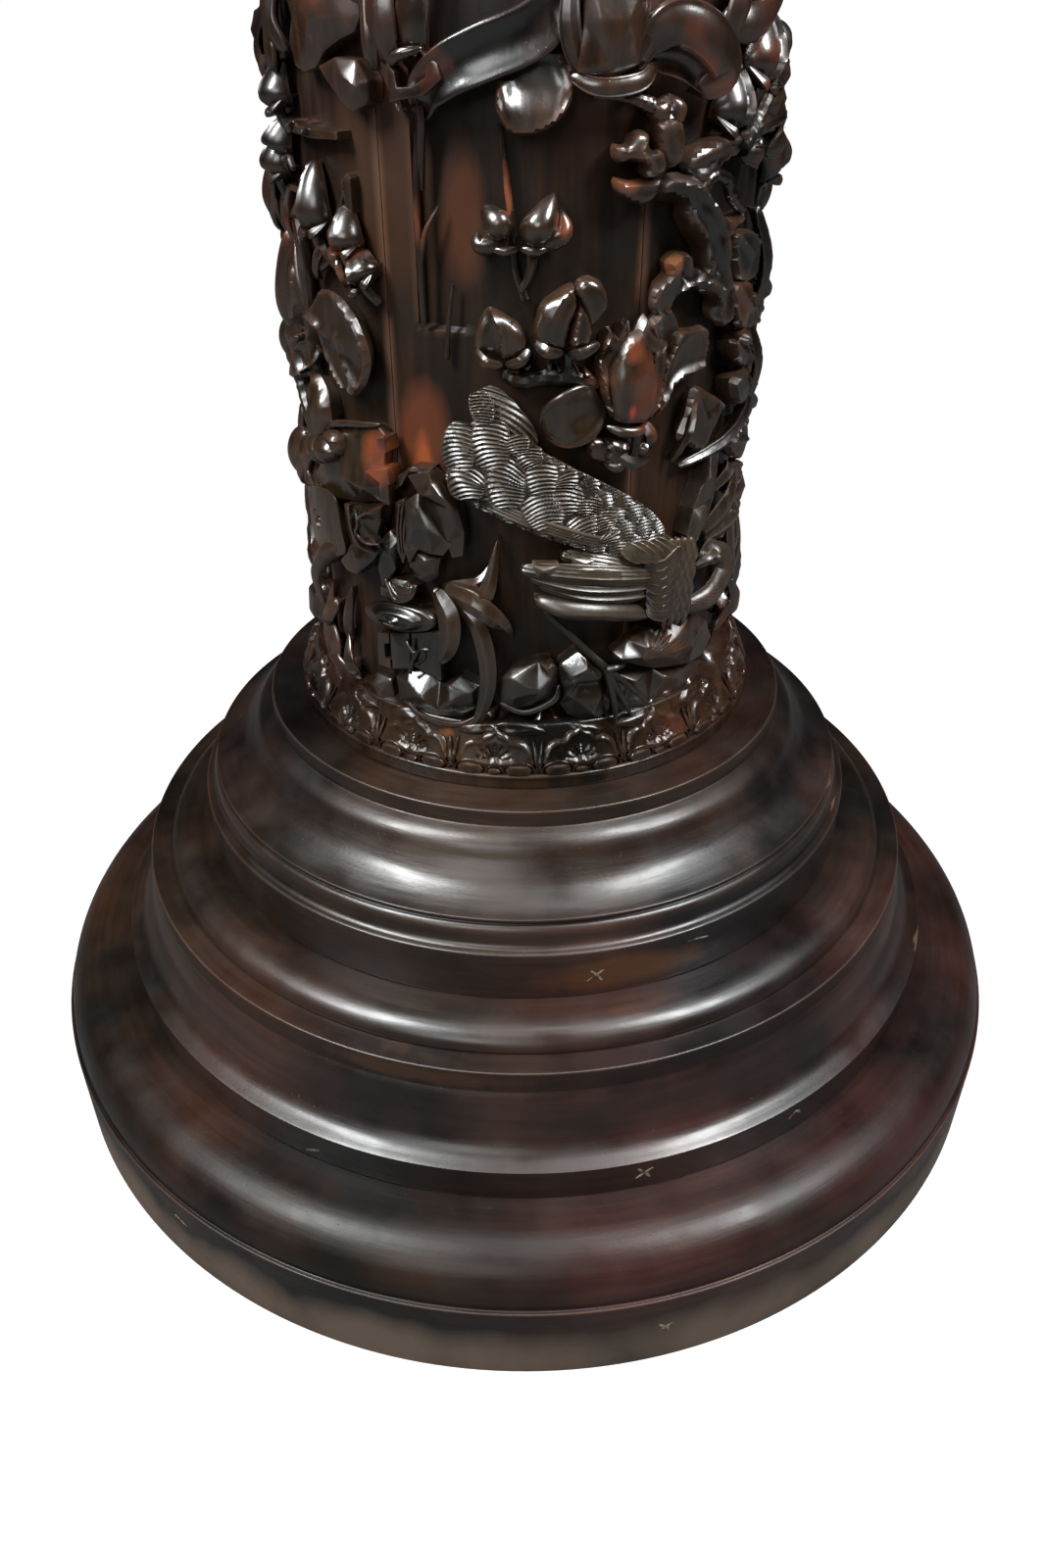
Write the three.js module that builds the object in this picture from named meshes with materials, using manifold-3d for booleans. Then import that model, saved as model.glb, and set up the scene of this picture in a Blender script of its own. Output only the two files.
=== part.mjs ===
// Column pedestal in dark hardwood: a stack of turned base blocks, a coopered shaft with
// applied carvings, and a turned capital under a round top. Millimetres, +Z up, origin on
// the floor at the middle of the base.
import * as THREE from "three";
import { mergeVertices } from "three/addons/utils/BufferGeometryUtils.js";
import Module from "manifold-3d";

const wasm = await Module();
wasm.setup();

// Base blocks, from the floor up.
const plinthRadius = 300;
const plinthBandHeight = 51;
const plinthHeight = 79;
const plinthTopRadius = 270;
const plinthQuirk = 2.5;
const middleHeight = 68.5;
const middleRadius = 254;
const middleBandHeight = 19.5;
const middleTopRadius = 233.5;
const middleFilletHeight = 13;
const beadHeight = 11.5;
const beadRadius = 221;
const beadTopRadius = 205;
const upperHeight = 84;
const upperBandRadius = 194;
const upperBandHeight = 29;
const upperLipRadius = 186;
const upperLipDrop = 40;
const upperNeckRadius = 149;
const upperFilletHeight = 6;
const upperLipRound = 5;
const upperLipEdge = 1;

// Where a flare turns from its hollow into its steep rise, as shares of its reach and rise.
const flareTurn = { reach: 0.2, rise: 0.62 };

// Shaft.
const wallRadius = 108;
const wallThickness = 22;
const shaftHeight = 700;
const staveCount = 6;
const staveSeamAngle = -33;
const glueLine = 0.4;
const plugThickness = 26;
const plugGap = 0.5;

// Border rings at both ends of the shaft.
const borderRadius = 131;
const borderTopRadius = 117;
const borderHeight = 28;
const borderRise = 7;
const borderSeatRadius = 125;
const borderGap = 0.6;

// Capital and top.
const neckHeight = 22;
const neckRadius = 136;
const bellHeight = 55;
const bellFootRadius = 128;
const bellRadius = 182;
const bellFootBand = 5;
const bellFootCove = 4;
const bellLip = 8;
const topThickness = 40;
const topRadius = 200;
const topEdgeRound = 15;

// Iron tie rod that draws the stack together, and its fittings.
const rodRadius = 6;
const rodClearance = 1;
const washerRadius = 20;
const washerThickness = 3;
const nutAcrossCorners = 22;
const nutHeight = 10;
const pocketRadius = 24;
const pocketDepth = 20;
const nutGap = 0.3;
const rodEndGap = 4;

// Dowels that index one block on the next.
const dowelRadius = 8;
const dowelLength = 36;
const dowelGap = 0.4;
const dowelCircle = 70;

// Carvings.
const carvingGap = 0.6;
const carvingSides = 12;
const backRingStep = 16;
const boughSides = 8;
const stemHalfWidth = 11;
const stemProud = 11;
const bloomHalf = [22, 33];
const bloomTilt = 24;
const bloomAside = 9;
const bloomProud = 17;
const rootRockHalf = [33, 22];
const rootRockProud = 15;
const rootRockClearance = 11.2;
const boughClearance = 15.3;

// Shares of a carving's outline and of how proud it stands, from its edge to its crown.
const crownLayers = [[1, 0.35], [0.8, 0.8], [0.4, 0.97], [0, 1]];

// The blooms of a bough lie evenly between these shares of its length.
const bloomReach = { from: -0.75, to: 0.85 };

// How finely the round pieces are faceted.
const ringSegments = 48;
const smallSegments = 12;
const arcSteps = 3;

const degree = Math.PI / 180;
const beadFloor = plinthHeight + middleHeight;
const upperFloor = beadFloor + beadHeight;
const beadMiddle = beadFloor + beadHeight / 2;
const shaftFloor = upperFloor + upperHeight;
const shaftTop = shaftFloor + shaftHeight;
const bellFloor = shaftTop + neckHeight;
const topFloor = bellFloor + bellHeight;
const overallHeight = topFloor + topThickness;
const rodHole = rodRadius + rodClearance;

const rosewood = (tone) =>
  new THREE.MeshStandardMaterial({ color: tone, roughness: 0.28, metalness: 0 });
const turnedWood = rosewood(0x2e1c18);
const carvedWood = rosewood(0x35201a);
const innerWood = new THREE.MeshStandardMaterial({ color: 0x6b4a33, roughness: 0.7 });
const iron = new THREE.MeshStandardMaterial({ color: 0x4a4643, roughness: 0.5, metalness: 0.9 });

const pedestal = new THREE.Group();

function add(name, geometry, material, height = 0) {
  const mesh = new THREE.Mesh(geometry, material);
  mesh.name = name;
  mesh.position.z = height;
  pedestal.add(mesh);
  return mesh;
}

// A closed profile of [radius, height] pairs, turned about Z. It runs anticlockwise.
function turned(profile, segments = ringSegments) {
  const points = profile.map(([r, z]) => new THREE.Vector2(r, z));
  points.push(points[0].clone());
  return new THREE.LatheGeometry(points, segments).rotateX(Math.PI / 2);
}

// Points of a quarter ellipse from one corner point to another, bulging or hollow.
function quarter([r0, z0], [r1, z1], bulging, steps = arcSteps) {
  const points = [];
  for (let i = 0; i <= steps; i += 1) {
    const t = (i / steps) * (Math.PI / 2);
    const along = bulging ? [1 - Math.cos(t), Math.sin(t)] : [Math.sin(t), 1 - Math.cos(t)];
    points.push([r0 + (r1 - r0) * along[0], z0 + (z1 - z0) * along[1]]);
  }
  return points;
}

function solidOf(geometry) {
  const bare = geometry.index ? geometry.toNonIndexed() : geometry.clone();
  bare.deleteAttribute("normal");
  bare.deleteAttribute("uv");
  const merged = mergeVertices(bare, 1e-3);
  return new wasm.Manifold(
    new wasm.Mesh({
      numProp: 3,
      vertProperties: merged.attributes.position.array,
      triVerts: new Uint32Array(merged.index.array),
    }),
  );
}

function geometryOf(solid) {
  const mesh = solid.getMesh();
  const geometry = new THREE.BufferGeometry();
  geometry.setAttribute("position", new THREE.BufferAttribute(mesh.vertProperties, 3));
  geometry.setIndex(new THREE.BufferAttribute(mesh.triVerts, 1));
  return geometry;
}

function peg(radius, length, floor, x = 0, y = 0) {
  return new THREE.CylinderGeometry(radius, radius, length, smallSegments)
    .rotateX(Math.PI / 2)
    .translate(x, y, floor + length / 2);
}

function bored(geometry, ...tools) {
  return geometryOf(tools.reduce((body, tool) => body.subtract(solidOf(tool)), solidOf(geometry)));
}

// Where the dowels of one joint stand.
function dowelSpots(joint) {
  return [0, 180].map((turn) => {
    const angle = (turn + joint * 90) * degree;
    return [dowelCircle * Math.cos(angle), dowelCircle * Math.sin(angle)];
  });
}

function dowelHoles(joint, seam) {
  const radius = dowelRadius + dowelGap;
  const length = dowelLength + 2 * dowelGap;
  return dowelSpots(joint).map(([x, y]) => peg(radius, length, seam - length / 2, x, y));
}

function plinthBlock() {
  const inner = plinthRadius - plinthQuirk;
  const profile = [
    [rodHole, 0],
    [plinthRadius, 0],
    [plinthRadius, plinthBandHeight],
    [inner, plinthBandHeight],
    ...quarter([inner, plinthBandHeight + plinthQuirk], [plinthTopRadius, plinthHeight], true),
    [rodHole, plinthHeight],
  ];
  const pocket = peg(pocketRadius, pocketDepth * 2, -pocketDepth);
  return bored(turned(profile), pocket, ...dowelHoles(0, plinthHeight));
}

// A base moulding from its lower lip up to the fillet under its top: a hollow that
// climbs away from the lip, a steep rise, and a rounded shoulder.
function flare([lipRadius, lipHeight], [filletRadius, filletHeight]) {
  const rise = filletHeight - lipHeight;
  const reach = lipRadius - filletRadius;
  const steep = [filletRadius + flareTurn.reach * reach, lipHeight + flareTurn.rise * rise];
  return [
    ...quarter([lipRadius, lipHeight], steep, false),
    ...quarter(steep, [filletRadius, filletHeight], true, 3).slice(1),
  ];
}

function middleBlock() {
  const floor = plinthHeight;
  const top = floor + middleHeight;
  const profile = [
    [rodHole, floor],
    [middleRadius, floor],
    ...flare([middleRadius, floor + middleBandHeight], [middleTopRadius, top - middleFilletHeight]),
    [middleTopRadius, top],
    [rodHole, top],
  ];
  return bored(turned(profile), ...dowelHoles(0, floor), ...dowelHoles(1, beadMiddle));
}

function beadDisc() {
  const profile = [
    [rodHole, beadFloor],
    ...quarter([beadRadius, beadFloor], [beadTopRadius, upperFloor], true),
    [rodHole, upperFloor],
  ];
  return bored(turned(profile), ...dowelHoles(1, beadMiddle));
}

function upperBlock() {
  const bandTop = upperFloor + upperBandHeight;
  const lip = shaftFloor - upperLipDrop;
  const profile = [
    [rodHole, upperFloor],
    [upperBandRadius, upperFloor],
    [upperBandRadius, bandTop],
    ...quarter([upperBandRadius, bandTop], [upperLipRadius, lip - upperLipRound], false, 3).slice(1),
    [upperLipRadius, lip],
    ...flare([upperLipRadius, lip + upperLipEdge], [upperNeckRadius, shaftFloor - upperFilletHeight]),
    [upperNeckRadius, shaftFloor],
    [rodHole, shaftFloor],
  ];
  return bored(turned(profile), ...dowelHoles(1, beadMiddle), ...dowelHoles(0, shaftFloor));
}

function stave() {
  const half = Math.PI / staveCount - glueLine / 2 / wallRadius;
  const inner = wallRadius - wallThickness;
  const steps = Math.round(ringSegments / staveCount);
  const ring = [];
  for (let i = 0; i <= steps; i += 1) {
    const a = -half + (2 * half * i) / steps;
    ring.push([wallRadius * Math.cos(a), wallRadius * Math.sin(a)]);
  }
  for (let i = steps; i >= 0; i -= 1) {
    const a = -half + (2 * half * i) / steps;
    ring.push([inner * Math.cos(a), inner * Math.sin(a)]);
  }
  const shape = new THREE.Shape(ring.map(([x, y]) => new THREE.Vector2(x, y)));
  return new THREE.ExtrudeGeometry(shape, { depth: shaftHeight, bevelEnabled: false });
}

function plug(floor, dowels) {
  const radius = wallRadius - wallThickness - plugGap;
  const profile = [
    [rodHole, floor],
    [radius, floor],
    [radius, floor + plugThickness],
    [rodHole, floor + plugThickness],
  ];
  return bored(turned(profile, ringSegments / 2), ...dowels);
}

// A border ring stands with its foot on a block. The upper one is the same ring, inverted.
function borderRing() {
  const inner = wallRadius + borderGap;
  return turned([
    [inner, 0],
    [borderSeatRadius, 0],
    [borderSeatRadius, borderRise],
    [borderRadius, borderRise],
    [borderRadius, borderRise + borderHeight / 3],
    [borderTopRadius, borderRise + borderHeight],
    [inner, borderRise + borderHeight],
  ]);
}

function capitalNeck() {
  return turned([
    [rodHole, shaftTop],
    ...[-2, -1, 0, 1, 2].map((i) => {
      const t = (i / 2) * (Math.PI / 2);
      const height = shaftTop + (neckHeight / 2) * (1 + Math.sin(t));
      return [neckRadius - (neckHeight / 2) * (1 - Math.cos(t)), height];
    }),
    [rodHole, bellFloor],
  ]);
}

function capitalBell() {
  const band = bellFloor + bellFootBand;
  return turned([
    [rodHole, bellFloor],
    [bellFootRadius, bellFloor],
    [bellFootRadius, band],
    ...quarter([bellFootRadius, band + bellFootCove], [bellRadius, topFloor - bellLip], true),
    [bellRadius, topFloor],
    [rodHole, topFloor],
  ]);
}

function topBoard() {
  const inner = topRadius - topEdgeRound;
  const under = quarter([inner, topFloor], [topRadius, topFloor + topEdgeRound], false);
  const over = quarter([topRadius, overallHeight - topEdgeRound], [inner, overallHeight], true);
  const profile = [[0, topFloor], ...under, ...over, [0, overallHeight]];
  return bored(turned(profile), peg(pocketRadius, pocketDepth * 2, topFloor - pocketDepth));
}

function washer(floor) {
  return turned([
    [rodHole, floor],
    [washerRadius, floor],
    [washerRadius, floor + washerThickness],
    [rodHole, floor + washerThickness],
  ], smallSegments);
}

function nut(floor) {
  const blank = new THREE.CylinderGeometry(nutAcrossCorners / 2, nutAcrossCorners / 2, nutHeight, 6)
    .rotateX(Math.PI / 2)
    .translate(0, 0, floor + nutHeight / 2);
  return bored(blank, peg(rodRadius + nutGap, nutHeight * 2, floor - nutHeight / 2));
}

// Outlines of carvings, as the distance from the middle at an angle, for a unit size.
const outlines = {
  oval: () => 1,
  drop: (t) => 0.82 + 0.18 * Math.exp(-3 * (1 - Math.sin(t))),
  rock: (t) => 0.9 + 0.1 * Math.cos(3 * t + 1) * Math.cos(2 * t),
  leaf: (t) => 0.7 + 0.3 * Math.abs(Math.cos(t)) ** 3,
};

// A crowned lump that follows the round of the shaft. Its size is half its width and
// half its height before it is turned.
function carving({ angle, height, half, proud, turn = 0, outline = "oval", sides = carvingSides }) {
  const seat = wallRadius + carvingGap;
  const cosine = Math.cos(turn * degree);
  const sine = Math.sin(turn * degree);
  const spot = (share, t, out) => {
    const reach = share * outlines[outline](t);
    const x = half[0] * reach * Math.cos(t);
    const y = half[1] * reach * Math.sin(t);
    const around = angle * degree + (x * cosine - y * sine) / (wallRadius + proud / 2);
    const radius = seat + out;
    return [radius * Math.sin(around), -radius * Math.cos(around), height + x * sine + y * cosine];
  };
  const backRings = Math.ceil(Math.hypot(half[0] * cosine, half[1] * sine) / backRingStep);
  const layers = [[0, 0]];
  for (let ring = 1; ring <= backRings; ring += 1) layers.push([ring / backRings, 0]);
  for (const [share, rise] of crownLayers) layers.push([share, proud * rise]);
  const vertices = [];
  for (const [share, out] of layers) {
    const count = share === 0 ? 1 : sides;
    for (let i = 0; i < count; i += 1) {
      vertices.push(...spot(share, (2 * Math.PI * i) / sides, out));
    }
  }
  const first = (layer) => 1 + (layer - 1) * sides;
  const last = layers.length - 1;
  const faces = [];
  for (let i = 0; i < sides; i += 1) {
    const j = (i + 1) % sides;
    faces.push(0, first(1) + j, first(1) + i);
    for (let layer = 1; layer < last - 1; layer += 1) {
      const [low, high] = [first(layer), first(layer + 1)];
      faces.push(low + i, low + j, high + j, low + i, high + j, high + i);
    }
    faces.push(first(last - 1) + i, first(last - 1) + j, first(last));
  }
  const geometry = new THREE.BufferGeometry();
  geometry.setAttribute("position", new THREE.Float32BufferAttribute(vertices, 3));
  geometry.setIndex(faces);
  return geometry;
}

// A leaning bough with blooms to either side of it, cut as one piece. A rooted one grows
// out of a rock at its foot.
function bough({ angle, height, length, lean, blooms, rooted }) {
  const onto = (piece) => solidOf(carving({ sides: boughSides, ...piece }));
  const along = (share) => {
    const y = (share * length) / 2;
    return {
      angle: angle - (y * Math.sin(lean * degree)) / (wallRadius * degree),
      height: height + y * Math.cos(lean * degree),
    };
  };
  let body = onto({ angle, height, half: [stemHalfWidth, length / 2], turn: lean, proud: stemProud });
  for (let i = 0; i < blooms; i += 1) {
    const spot = along(bloomReach.from + ((bloomReach.to - bloomReach.from) * (i + 0.5)) / blooms);
    const side = i % 2 ? 1 : -1;
    const bloom = { ...spot, half: bloomHalf, turn: -side * bloomTilt, proud: bloomProud };
    bloom.angle += side * bloomAside;
    body = body.add(onto({ ...bloom, outline: "drop" }));
  }
  if (rooted) {
    const foot = { ...along(-1), half: rootRockHalf, proud: rootRockProud };
    body = body.add(onto({ ...foot, outline: "rock" }));
  }
  return geometryOf(body);
}

// Several lumps that run into one another, cut as one piece.
function spray(lumps) {
  const solids = lumps.map((lump) => solidOf(carving(lump)));
  return geometryOf(solids.reduce((body, solid) => body.add(solid)));
}

// The scene on the front of the shaft, between the rocks at its foot and the boughs above.
// Heights are taken from the foot of the shaft.
const frontCarvings = {
  pheasant_wing: { angle: 7, rise: 153, half: [56, 17], turn: -30, proud: 12, sides: 24 },
  pheasant_body: { angle: 36, rise: 97, half: [15, 19], proud: 18 },
  pheasant_tail: { angle: 14, rise: 106, half: [28, 8], turn: -10, proud: 13, outline: "leaf" },
  pheasant_neck: { angle: 50, rise: 92, half: [7, 15], turn: 8, proud: 15 },
  pheasant_leg: { angle: 16, rise: 83, half: [23, 4], turn: -14, proud: 12 },
  boulder_low: { angle: 1, rise: 50, half: [13, 13], proud: 15, outline: "rock" },
  boulder_mid: { angle: 15.5, rise: 56, half: [13, 20], proud: 16, outline: "rock" },
  boulder_high: { angle: 37, rise: 57, half: [26, 18], turn: 4, proud: 18, outline: "rock" },
  lantern_foot: { angle: -22.5, rise: 46.5, half: [22, 10], proud: 16, outline: "rock" },
  lantern_house: { angle: -29, rise: 64, half: [18, 9], proud: 13 },
  lantern_roof: { angle: -31, rise: 82, half: [20, 7], turn: 4, proud: 16 },
  orchid_clump: { angle: -10, rise: 84, half: [10, 32], turn: 6, proud: 12, outline: "leaf" },
  bell_bloom: { angle: -21, rise: 130, half: [15, 28], turn: 8, proud: 16, outline: "drop" },
  curled_leaf: { angle: -48, rise: 133, half: [30, 38], turn: 12, proud: 14, outline: "leaf" },
  iris_clump: { angle: -55, rise: 64, half: [18, 27], turn: 4, proud: 12, outline: "drop" },
  petal_left: { angle: -43, rise: 208, half: [17, 24], turn: 20, proud: 13 },
  bud_pair: { angle: 1.5, rise: 221, half: [25, 18], turn: 6, proud: 14, outline: "drop" },
  bloom_right: { angle: 25, rise: 200, half: [20, 27], turn: -6, proud: 18, outline: "drop" },
  round_petal: { angle: 1.5, rise: 301, half: [14, 15], proud: 12 },
  plum_bough: { angle: 35, rise: 262, half: [40, 17], turn: -52, proud: 15, outline: "leaf", sides: 20 },
};

// Petals, a bud and a cup on the stalk that crosses above them.
const upperSpray = [
  { angle: -20, rise: 303, half: [30, 6], turn: 16, proud: 11 },
  { angle: -40, rise: 320, half: [18, 13], turn: -20, proud: 14, outline: "drop" },
  { angle: -34, rise: 302, half: [12, 10], proud: 16 },
  { angle: -20, rise: 309, half: [11, 9], proud: 15 },
];

// Magnolia boughs stand side by side round the back of the shaft and all round above.
const backBoughCount = 5;
const backBoughPitch = 41;
const backBough = { length: 250, lean: 8, blooms: 3, rooted: true };
const highBoughCount = 6;
const highBough = { length: 285, lean: -9, blooms: 4, rooted: false };
const halfHeight = ({ length, lean }) => (length / 2) * Math.cos(lean * degree);
const lowerBorderTop = shaftFloor + borderRise + borderHeight;
const upperBorderFoot = shaftTop - borderRise - borderHeight;
backBough.height = lowerBorderTop + rootRockClearance + rootRockHalf[1] + halfHeight(backBough);
highBough.height = upperBorderFoot - boughClearance - halfHeight(highBough);

add("plinth_block", plinthBlock(), turnedWood);
add("middle_block", middleBlock(), turnedWood);
add("bead_disc", beadDisc(), turnedWood);
add("upper_block", upperBlock(), turnedWood);
for (let i = 0; i < staveCount; i += 1) {
  const mesh = add(`stave_${i + 1}`, stave(), carvedWood, shaftFloor);
  mesh.rotation.z = staveSeamAngle * degree - Math.PI / 2 + ((i + 0.5) * 2 * Math.PI) / staveCount;
}
add("lower_border", borderRing(), carvedWood, shaftFloor);
const upperBorder = add("upper_border", borderRing(), carvedWood, shaftTop);
upperBorder.rotation.x = Math.PI;
add("lower_plug", plug(shaftFloor, dowelHoles(0, shaftFloor)), innerWood);
add("upper_plug", plug(shaftTop - plugThickness, []), innerWood);
add("capital_neck", capitalNeck(), turnedWood);
add("capital_bell", capitalBell(), turnedWood);
add("top_board", topBoard(), turnedWood);

[plinthHeight, beadMiddle, shaftFloor].forEach((seam, joint) => {
  dowelSpots(joint % 2).forEach(([x, y], side) => {
    const dowel = peg(dowelRadius, dowelLength, seam - dowelLength / 2, x, y);
    add(`dowel_${joint + 1}${side ? "b" : "a"}`, dowel, innerWood);
  });
});

const rodLength = topFloor + pocketDepth - 2 * rodEndGap;
add("tie_rod", peg(rodRadius, rodLength, rodEndGap), iron);
add("lower_washer", washer(pocketDepth - washerThickness), iron);
add("lower_nut", nut(pocketDepth - washerThickness - nutHeight), iron);
add("upper_washer", washer(topFloor), iron);
add("upper_nut", nut(topFloor + washerThickness), iron);

const raised = ({ rise, ...shape }) => ({ ...shape, height: shaftFloor + rise });
for (const [name, shape] of Object.entries(frontCarvings)) add(name, carving(raised(shape)), carvedWood);
add("flower_spray", spray(upperSpray.map(raised)), carvedWood);
for (let i = 0; i < backBoughCount; i += 1) {
  const angle = 180 + (i - (backBoughCount - 1) / 2) * backBoughPitch;
  add(`back_bough_${i + 1}`, bough({ ...backBough, angle }), carvedWood);
}
for (let i = 0; i < highBoughCount; i += 1) {
  const angle = (i * 360) / highBoughCount;
  add(`high_bough_${i + 1}`, bough({ ...highBough, angle }), carvedWood);
}

export default pedestal;
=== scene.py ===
# A carved hardwood column pedestal: turned base, carved shaft, turned capital and top.
import math
import bmesh
import bpy
import numpy as np
from mathutils import Matrix, Vector
from mathutils.geometry import delaunay_2d_cdt


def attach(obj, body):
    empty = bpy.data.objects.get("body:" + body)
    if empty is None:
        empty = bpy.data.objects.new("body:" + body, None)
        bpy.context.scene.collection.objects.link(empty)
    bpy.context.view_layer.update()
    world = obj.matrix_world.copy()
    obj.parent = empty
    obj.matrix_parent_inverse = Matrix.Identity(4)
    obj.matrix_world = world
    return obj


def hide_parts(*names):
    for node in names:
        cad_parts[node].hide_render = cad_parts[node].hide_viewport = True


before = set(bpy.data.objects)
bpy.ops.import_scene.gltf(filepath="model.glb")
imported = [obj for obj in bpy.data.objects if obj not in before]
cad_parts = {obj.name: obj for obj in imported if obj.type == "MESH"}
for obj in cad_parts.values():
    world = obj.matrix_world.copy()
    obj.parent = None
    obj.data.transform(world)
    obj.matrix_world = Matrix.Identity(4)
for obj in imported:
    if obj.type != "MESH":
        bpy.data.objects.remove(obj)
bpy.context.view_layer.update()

# Lengths are in millimetres, except for the lamps and the studio, which are in metres.
mm = 0.001
wall = 108.0           # radius of the shaft's bare wall
shaftFloor = 243.0     # where the shaft stands on the base
shaftTop = 943.0
rodHole = 7.0
mmPerDegree = 2.0      # round the shaft at the carvings' middle depth
seenRadius = 122.0     # of the cylinder on which the carvings' places were read

view = {
    "at": (-1.9, -621.6, 591.3),
    "down": 35.025,
    "roll": -0.155,
    "lens": 27.16,
}
lamps = {
    "softbox_middle": {"at": (0.1, 0.1, 2.3), "size": (0.8, 0.8), "power": 24, "aim": (0, 0, 0.2)},
    "softbox_left": {"at": (-1.1, -0.75, 1.9), "size": (0.45, 1.0), "power": 92, "aim": (0, 0, 0.25)},
    "softbox_right": {"at": (1.15, -0.65, 1.95), "size": (0.45, 1.0), "power": 84, "aim": (0, 0, 0.25)},
    "softbox_front": {"at": (-0.7, -2.1, 1.5), "size": (1.1, 0.9), "power": 20, "aim": (0, 0, 0.35)},
}
studio = {
    "glow": 0.014,              # of the world, all round
    "floor": 14,                # half its width
    "paper": (0.93, 0.95),      # as the camera sees it
    "bounce": 0.22,             # as the object is lit by it
    "mirrored": 0.07,           # as polish shows it
    "fade": (0.31, 0.62),       # from the floor's shadow to plain white
    "fade from": 0.8,
}


def makeCamera():
    tilt = math.radians(view["down"])
    roll = math.radians(view["roll"])
    forward = Vector((0, math.cos(tilt), -math.sin(tilt)))
    right = Vector((1, 0, 0))
    up = right.cross(forward)
    across = right * math.cos(roll) + up * math.sin(roll)
    above = up * math.cos(roll) - right * math.sin(roll)
    turn = Matrix((across, above, -forward)).transposed().to_4x4()
    camera = bpy.data.objects.new("camera", bpy.data.cameras.new("camera"))
    camera.data.lens = view["lens"]
    camera.data.clip_start = 0.01
    camera.matrix_world = Matrix.Translation(Vector(view["at"]) * mm) @ turn
    bpy.context.collection.objects.link(camera)
    bpy.context.scene.camera = camera


def makeLamps():
    for name, lamp in lamps.items():
        data = bpy.data.lights.new(name, "AREA")
        data.shape = "RECTANGLE"
        data.size = lamp["size"][0]
        data.size_y = lamp["size"][1]
        data.energy = lamp["power"]
        thing = bpy.data.objects.new(name, data)
        thing.location = lamp["at"]
        thing.rotation_euler = (Vector(lamp["aim"]) - thing.location).to_track_quat("-Z", "Y").to_euler()
        bpy.context.collection.objects.link(thing)


# A new shader node with its settings. Each input takes a value or another node's output.
def added(tree, kind, inputs=(), **settings):
    node = tree.nodes.new("ShaderNode" + kind)
    for name, value in settings.items():
        setattr(node, name, value)
    fill(tree, node, dict(inputs))
    return node


def fill(tree, node, inputs):
    for name, value in inputs.items():
        socket = node.inputs[name]
        if hasattr(value, "is_linked"):
            tree.links.new(value, socket)
        elif socket.type == "RGBA":
            socket.default_value = (*value, 1)
        else:
            socket.default_value = value


def grey(level):
    return (level, level, level)


def makeWorld():
    world = bpy.data.worlds.new("studio")
    bpy.context.scene.world = world
    world.use_nodes = True
    tree = world.node_tree
    tree.nodes.clear()
    white = added(tree, "Background", {"Color": grey(1), "Strength": 1})
    lit = added(tree, "Background", {"Color": grey(1), "Strength": studio["glow"]})
    path = added(tree, "LightPath")
    mix = added(tree, "MixShader", {0: path.outputs["Is Camera Ray"], 1: lit.outputs[0],
                                    2: white.outputs[0]})
    added(tree, "OutputWorld", {0: mix.outputs[0]})


def nodeTree(name):
    material = bpy.data.materials.new(name)
    material.use_nodes = True
    tree = material.node_tree
    return material, tree, tree.nodes["Principled BSDF"]


def noiseAt(tree, scale, detail=4, stretch=(1, 1, 1)):
    place = added(tree, "TexCoord").outputs["Object"]
    mapping = added(tree, "Mapping", {"Vector": place, "Scale": stretch})
    noise = added(tree, "TexNoise", {"Vector": mapping.outputs[0], "Scale": scale, "Detail": detail})
    return noise.outputs[0]


# Noise that runs round the axis, as the marks of turning and polishing do.
def turnedNoise(tree, scale, along=1.5, detail=4):
    place = added(tree, "TexCoord").outputs["Object"]
    split = added(tree, "SeparateXYZ", {0: place})
    flat = added(tree, "VectorMath", {0: place, 1: (1, 1, 0)}, operation="MULTIPLY")
    reach = added(tree, "VectorMath", {0: flat.outputs[0]}, operation="LENGTH")
    turn = added(tree, "Math", {0: split.outputs["Y"], 1: split.outputs["X"]}, operation="ARCTAN2")
    slow = added(tree, "Math", {0: turn.outputs[0], 1: along / scale}, operation="MULTIPLY")
    join = added(tree, "CombineXYZ", {0: reach.outputs["Value"], 1: split.outputs["Z"],
                                      2: slow.outputs[0]})
    noise = added(tree, "TexNoise", {"Vector": join.outputs[0], "Scale": scale, "Detail": detail})
    return noise.outputs[0]


def ramp(tree, value, stops):
    node = added(tree, "ValToRGB", {0: value})
    marks = node.color_ramp.elements
    while len(marks) < len(stops):
        marks.new(0.5)
    for mark, (at, colour) in zip(marks, stops):
        mark.position = at
        mark.color = (*colour, 1)
    return node.outputs[0]


def mixed(tree, share, first, second, mode="MIX"):
    return added(tree, "Mix", {0: share, 6: first, 7: second}, data_type="RGBA",
                 blend_type=mode).outputs[2]


def bumped(tree, height, distance, strength=1.0, under=None):
    node = added(tree, "Bump", {"Height": height, "Distance": distance, "Strength": strength})
    if under is not None:
        tree.links.new(under, node.inputs["Normal"])
    return node.outputs[0]


# How near a point is to a place, from 0 at the given reach to its full share, broken up by noise.
def nearness(tree, place, reach, full=0.85):
    here = added(tree, "TexCoord").outputs["Object"]
    middle = tuple(c * mm for c in place)
    stretch = tuple(1 / (c * mm) for c in reach)
    apart = added(tree, "VectorMath", {0: here, 1: middle}, operation="SUBTRACT")
    shares = added(tree, "VectorMath", {0: apart.outputs[0], 1: stretch}, operation="MULTIPLY")
    far = added(tree, "VectorMath", {0: shares.outputs[0]}, operation="LENGTH")
    noise = noiseAt(tree, 0.4 / (min(reach) * mm), 5, (2, 2, 1))
    rough = added(tree, "Math", {0: noise, 1: 0.8, 2: far.outputs["Value"]}, operation="MULTIPLY_ADD")
    return ramp(tree, rough.outputs[0], [(0.7, grey(full)), (1.15, grey(0))])


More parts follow.
